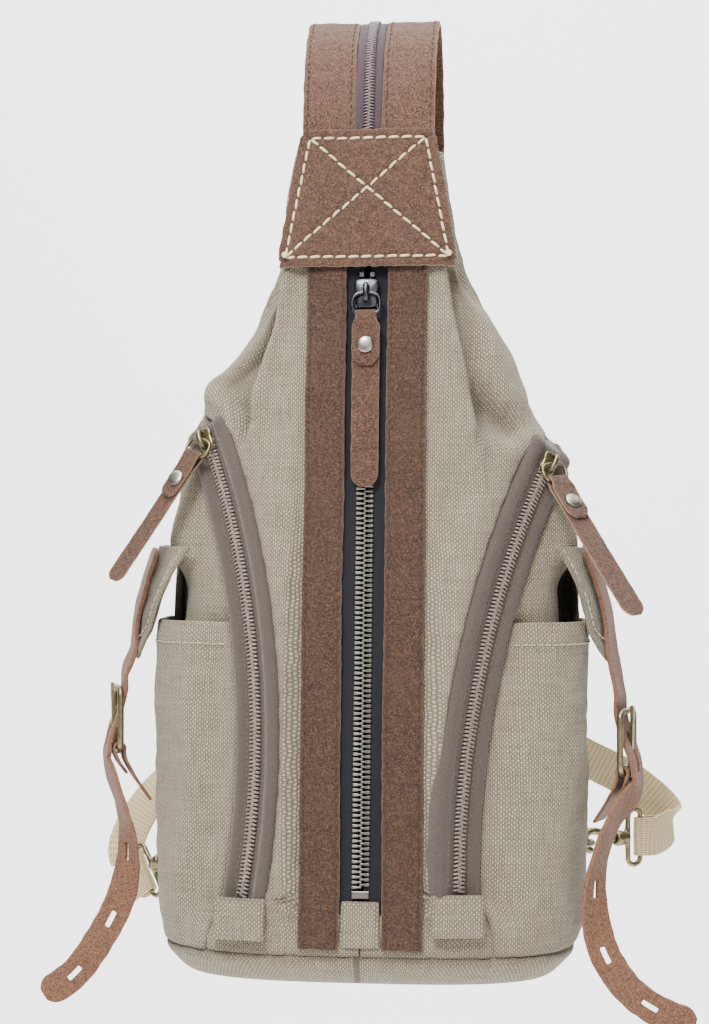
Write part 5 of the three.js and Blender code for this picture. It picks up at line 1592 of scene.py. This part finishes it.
def build_flap_strap(name, spec):
    """A flap's strap with its slots, and the chape that holds the buckle."""
    side = spec["side"]
    m = buckle_matrix(spec)
    on_flap = [flap_point(side, 0.5, s) + flap_normal(side, 0.5, s) * 2.9 for s in
               (0.04, 0.3, 0.6, 0.9)]
    local = [(22, -3.4), (14.9, -3.3), (8, -1.9), (0, 1), (-9, 4.2), (-14.9, 5.3), (-22, 5.5)]
    inside = list(through(m, [(0, y, z) for y, z in local]))
    dense = catmull(on_flap + inside + [vec(*p) for p in spec["tail"]], 288)
    frac = np.linspace(0, 1, len(dense))
    outward = vec(side * math.cos(YAW), -math.sin(YAW), 0)
    seam_face = flap_normal(side, 0.5, 0.3)
    tail_face = unit(vec(-side * 0.15, -1, 0.1))
    face = lerp(seam_face, outward, ease(frac, 0.12, 0.3)[:, None])
    face = unit(lerp(face, tail_face, ease(frac, 0.66, 0.9)[:, None]))
    tangent = unit(np.gradient(dense, axis=0))
    across = unit(np.cross(tangent, face))
    path, across = evenly(dense, across, 0.75)
    way = path_length(path)
    corner = np.argmin(np.linalg.norm(path - inside[-1], axis=1))
    tail = way[-1] - way[corner]
    middle = np.argmin(np.linalg.norm(path - through(m, [(0, -4.8, 2)])[0], axis=1))
    wide = tapered(way, 15.0, 3.0, 7.0)
    holes = [way[corner] + f * tail for f in spec["slots"]]
    holes += [way[middle] + gap for gap in (-5.4, -1.8, 1.8, 5.4)]
    obj, _, _ = band(f"flap_strap_leather_{name}", path, across, wide, 2.2, [TAN, TAN_EDGE], 16,
                     slots=holes, slot_size=(1.15, 4.4), seed=170 + side, rough=0.35, wobble=0.35)
    settle(obj, f"flap_{name}", "strap_leather", f"flap_strap_{name}")

    a = np.radians(125 - 15.6 * np.arange(17))
    fold = np.stack([-BAR + 2.85 * np.cos(a), 2.85 * np.sin(a)], -1)
    anchor = (-41, -15.8) if side < 0 else (-40, -14.6)
    yz = np.concatenate([[(-28, -4.2), (-22, 0.2)], fold, [(-21, -3.4), (-30, -8.4), anchor]])
    yz = smoothed(resample(yz, step=0.8), 2)
    path = through(m, np.stack([np.zeros(len(yz)), yz[:, 0], yz[:, 1]], -1))
    way = path_length(path)
    bend = np.argmin(np.linalg.norm(yz - [-BAR, 2.85], axis=1))
    obj, _, _ = band(f"chape_leather_{name}", path, turned(m, [(1, 0, 0)])[0],
                     tapered(way, 15.0, 5.0, 0.0), 1.5, [TAN, TAN_EDGE], 16,
                     slots=[way[bend] - 1.5, way[bend] + 1.5], slot_size=(2.2, 3.4),
                     seed=180 + side, rough=0.45, wobble=0.3)
    settle(obj, f"flap_{name}", "strap_leather", f"chape_{name}")


# ------------------------------------------------------------------ webbing and its hooks
HOOKS = {
    "left": dict(side=-1, ring=vec(-106.2, 44.6, 48.8), towards=vec(-0.66, 0.5, -0.56)),
    "right": dict(side=1, ring=vec(107.3, 44.2, 54), towards=vec(0.82, 0.57, 0)),
}
BARREL_END, EYE_HEIGHT, BAR_Y = 26.0, 8.0, -12.4


def hook_matrix(spec):
    forward = unit(spec["towards"])
    sideways = unit(vec(0, 0, 1) - forward * forward[2])
    return frame_matrix(spec["ring"], sideways, forward, np.cross(sideways, forward))


def build_webbing():
    """The lower webbing straps, and the leather tabs that hold the D-rings."""
    for name, spec in HOOKS.items():
        side, m = spec["side"], hook_matrix(spec)
        eye = BARREL_END + EYE_HEIGHT
        a = np.radians(-90 + 45 * np.arange(5))
        fold = through(m, [(0, eye - 2.7 * math.cos(v), 2.7 * math.sin(v)) for v in a])
        drop = ([(-22, 59.5, 172), (-52, 68, 130), (-98, 80, 98), (-131, 84, 66), (-142, 76, 40)]
                if side < 0 else
                [(22, 59.5, 172), (52, 68, 128), (98, 78, 98), (134, 83, 78), (152, 79, 60)])
        ends = through(m, [(0, eye + 8, -3.2), (0, eye + 7, 2.9), (0, eye + 15, 2.4)])
        points = [vec(side * 20, 57.2, 212)] + [vec(*p) for p in drop] + [ends[0]] + list(fold)
        dense = catmull(points + [ends[1], ends[2]], 256)
        frac = np.linspace(0, 1, len(dense))
        eye_across = turned(m, [(1, 0, 0)])[0]
        across = unit(lerp(vec(1, 0, 0), eye_across, ease(frac, 0.1, 0.4)[:, None]))
        path, across = evenly(dense, across, 1.0)
        obj, _, _ = band(f"webbing_strap_{name}", path, across, 20.0, 1.7, WEBBING, 25,
                         seed=190 + side, rough=0.08, wobble=0.25, rim=0)
        settle(obj, "root", "webbing", f"webbing_{name}")

        a = np.radians(90 - 15 * np.arange(13))
        bend = [(2.6 * math.sin(v), BAR_Y + 2.6 * math.cos(v)) for v in a]
        xy = resample([(2.6, BAR_Y - 3.6)] + bend + [(-2.6, BAR_Y - 3.6)], step=0.6)
        path = through(m, np.stack([xy[:, 0], xy[:, 1], np.zeros(len(xy))], -1))
        obj, _, _ = band(f"ring_tab_leather_{name}", path, turned(m, [(0, 0, 1)])[0], 14.0, 1.4,
                         [TAN, TAN_EDGE], 11, seed=200 + side, wobble=0.0)
        settle(obj, "root", "strap_leather", f"d_ring_tab_{name}")


# ------------------------------------------------------------------ metal pieces of the frame
def finish_metal():
    """Gives the CAD's own metal and lining pieces their looks, and rounds the metal."""
    finishes = {"bright_metal": NICKEL, "gunmetal": GUNMETAL, "antique_brass": BRASS}
    for part in frame["record"]["subparts"]:
        node = frame["nodes"][part["node"]]
        if part["material_slot"] not in finishes:
            continue
        node.data.materials.clear()
        node.data.materials.append(finishes[part["material_slot"]])
        if node.hide_render:
            continue
        flat = any(word in node.name for word in ("strap_pull", "tongue"))
        node.data.polygons.foreach_set("use_smooth", [not flat] * len(node.data.polygons))
        weld = node.modifiers.new("weld", "WELD")
        weld.merge_threshold = 0.01 * MM
        if flat:
            bevel = node.modifiers.new("edges", "BEVEL")
            bevel.width = 0.22 * MM
            bevel.segments = 2
            bevel.limit_method = "ANGLE"
            bevel.angle_limit = math.radians(35)
        else:
            round_ = node.modifiers.new("round", "SUBSURF")
            round_.levels = round_.render_levels = 1
            plump = node.modifiers.new("plump", "DISPLACE")
            plump.mid_level = 0
            plump.strength = 0.15 * MM
    for name in ("lining", "back_padding"):
        node = frame["nodes"][name]
        node.data.materials.clear()
        node.data.materials.append(LINING)


build_stage()
build_canvas()
build_strips()
build_patch()
build_strap()
build_front_zip()
build_pocket_zips()
build_pulls()
build_flaps()
build_webbing()
finish_metal()
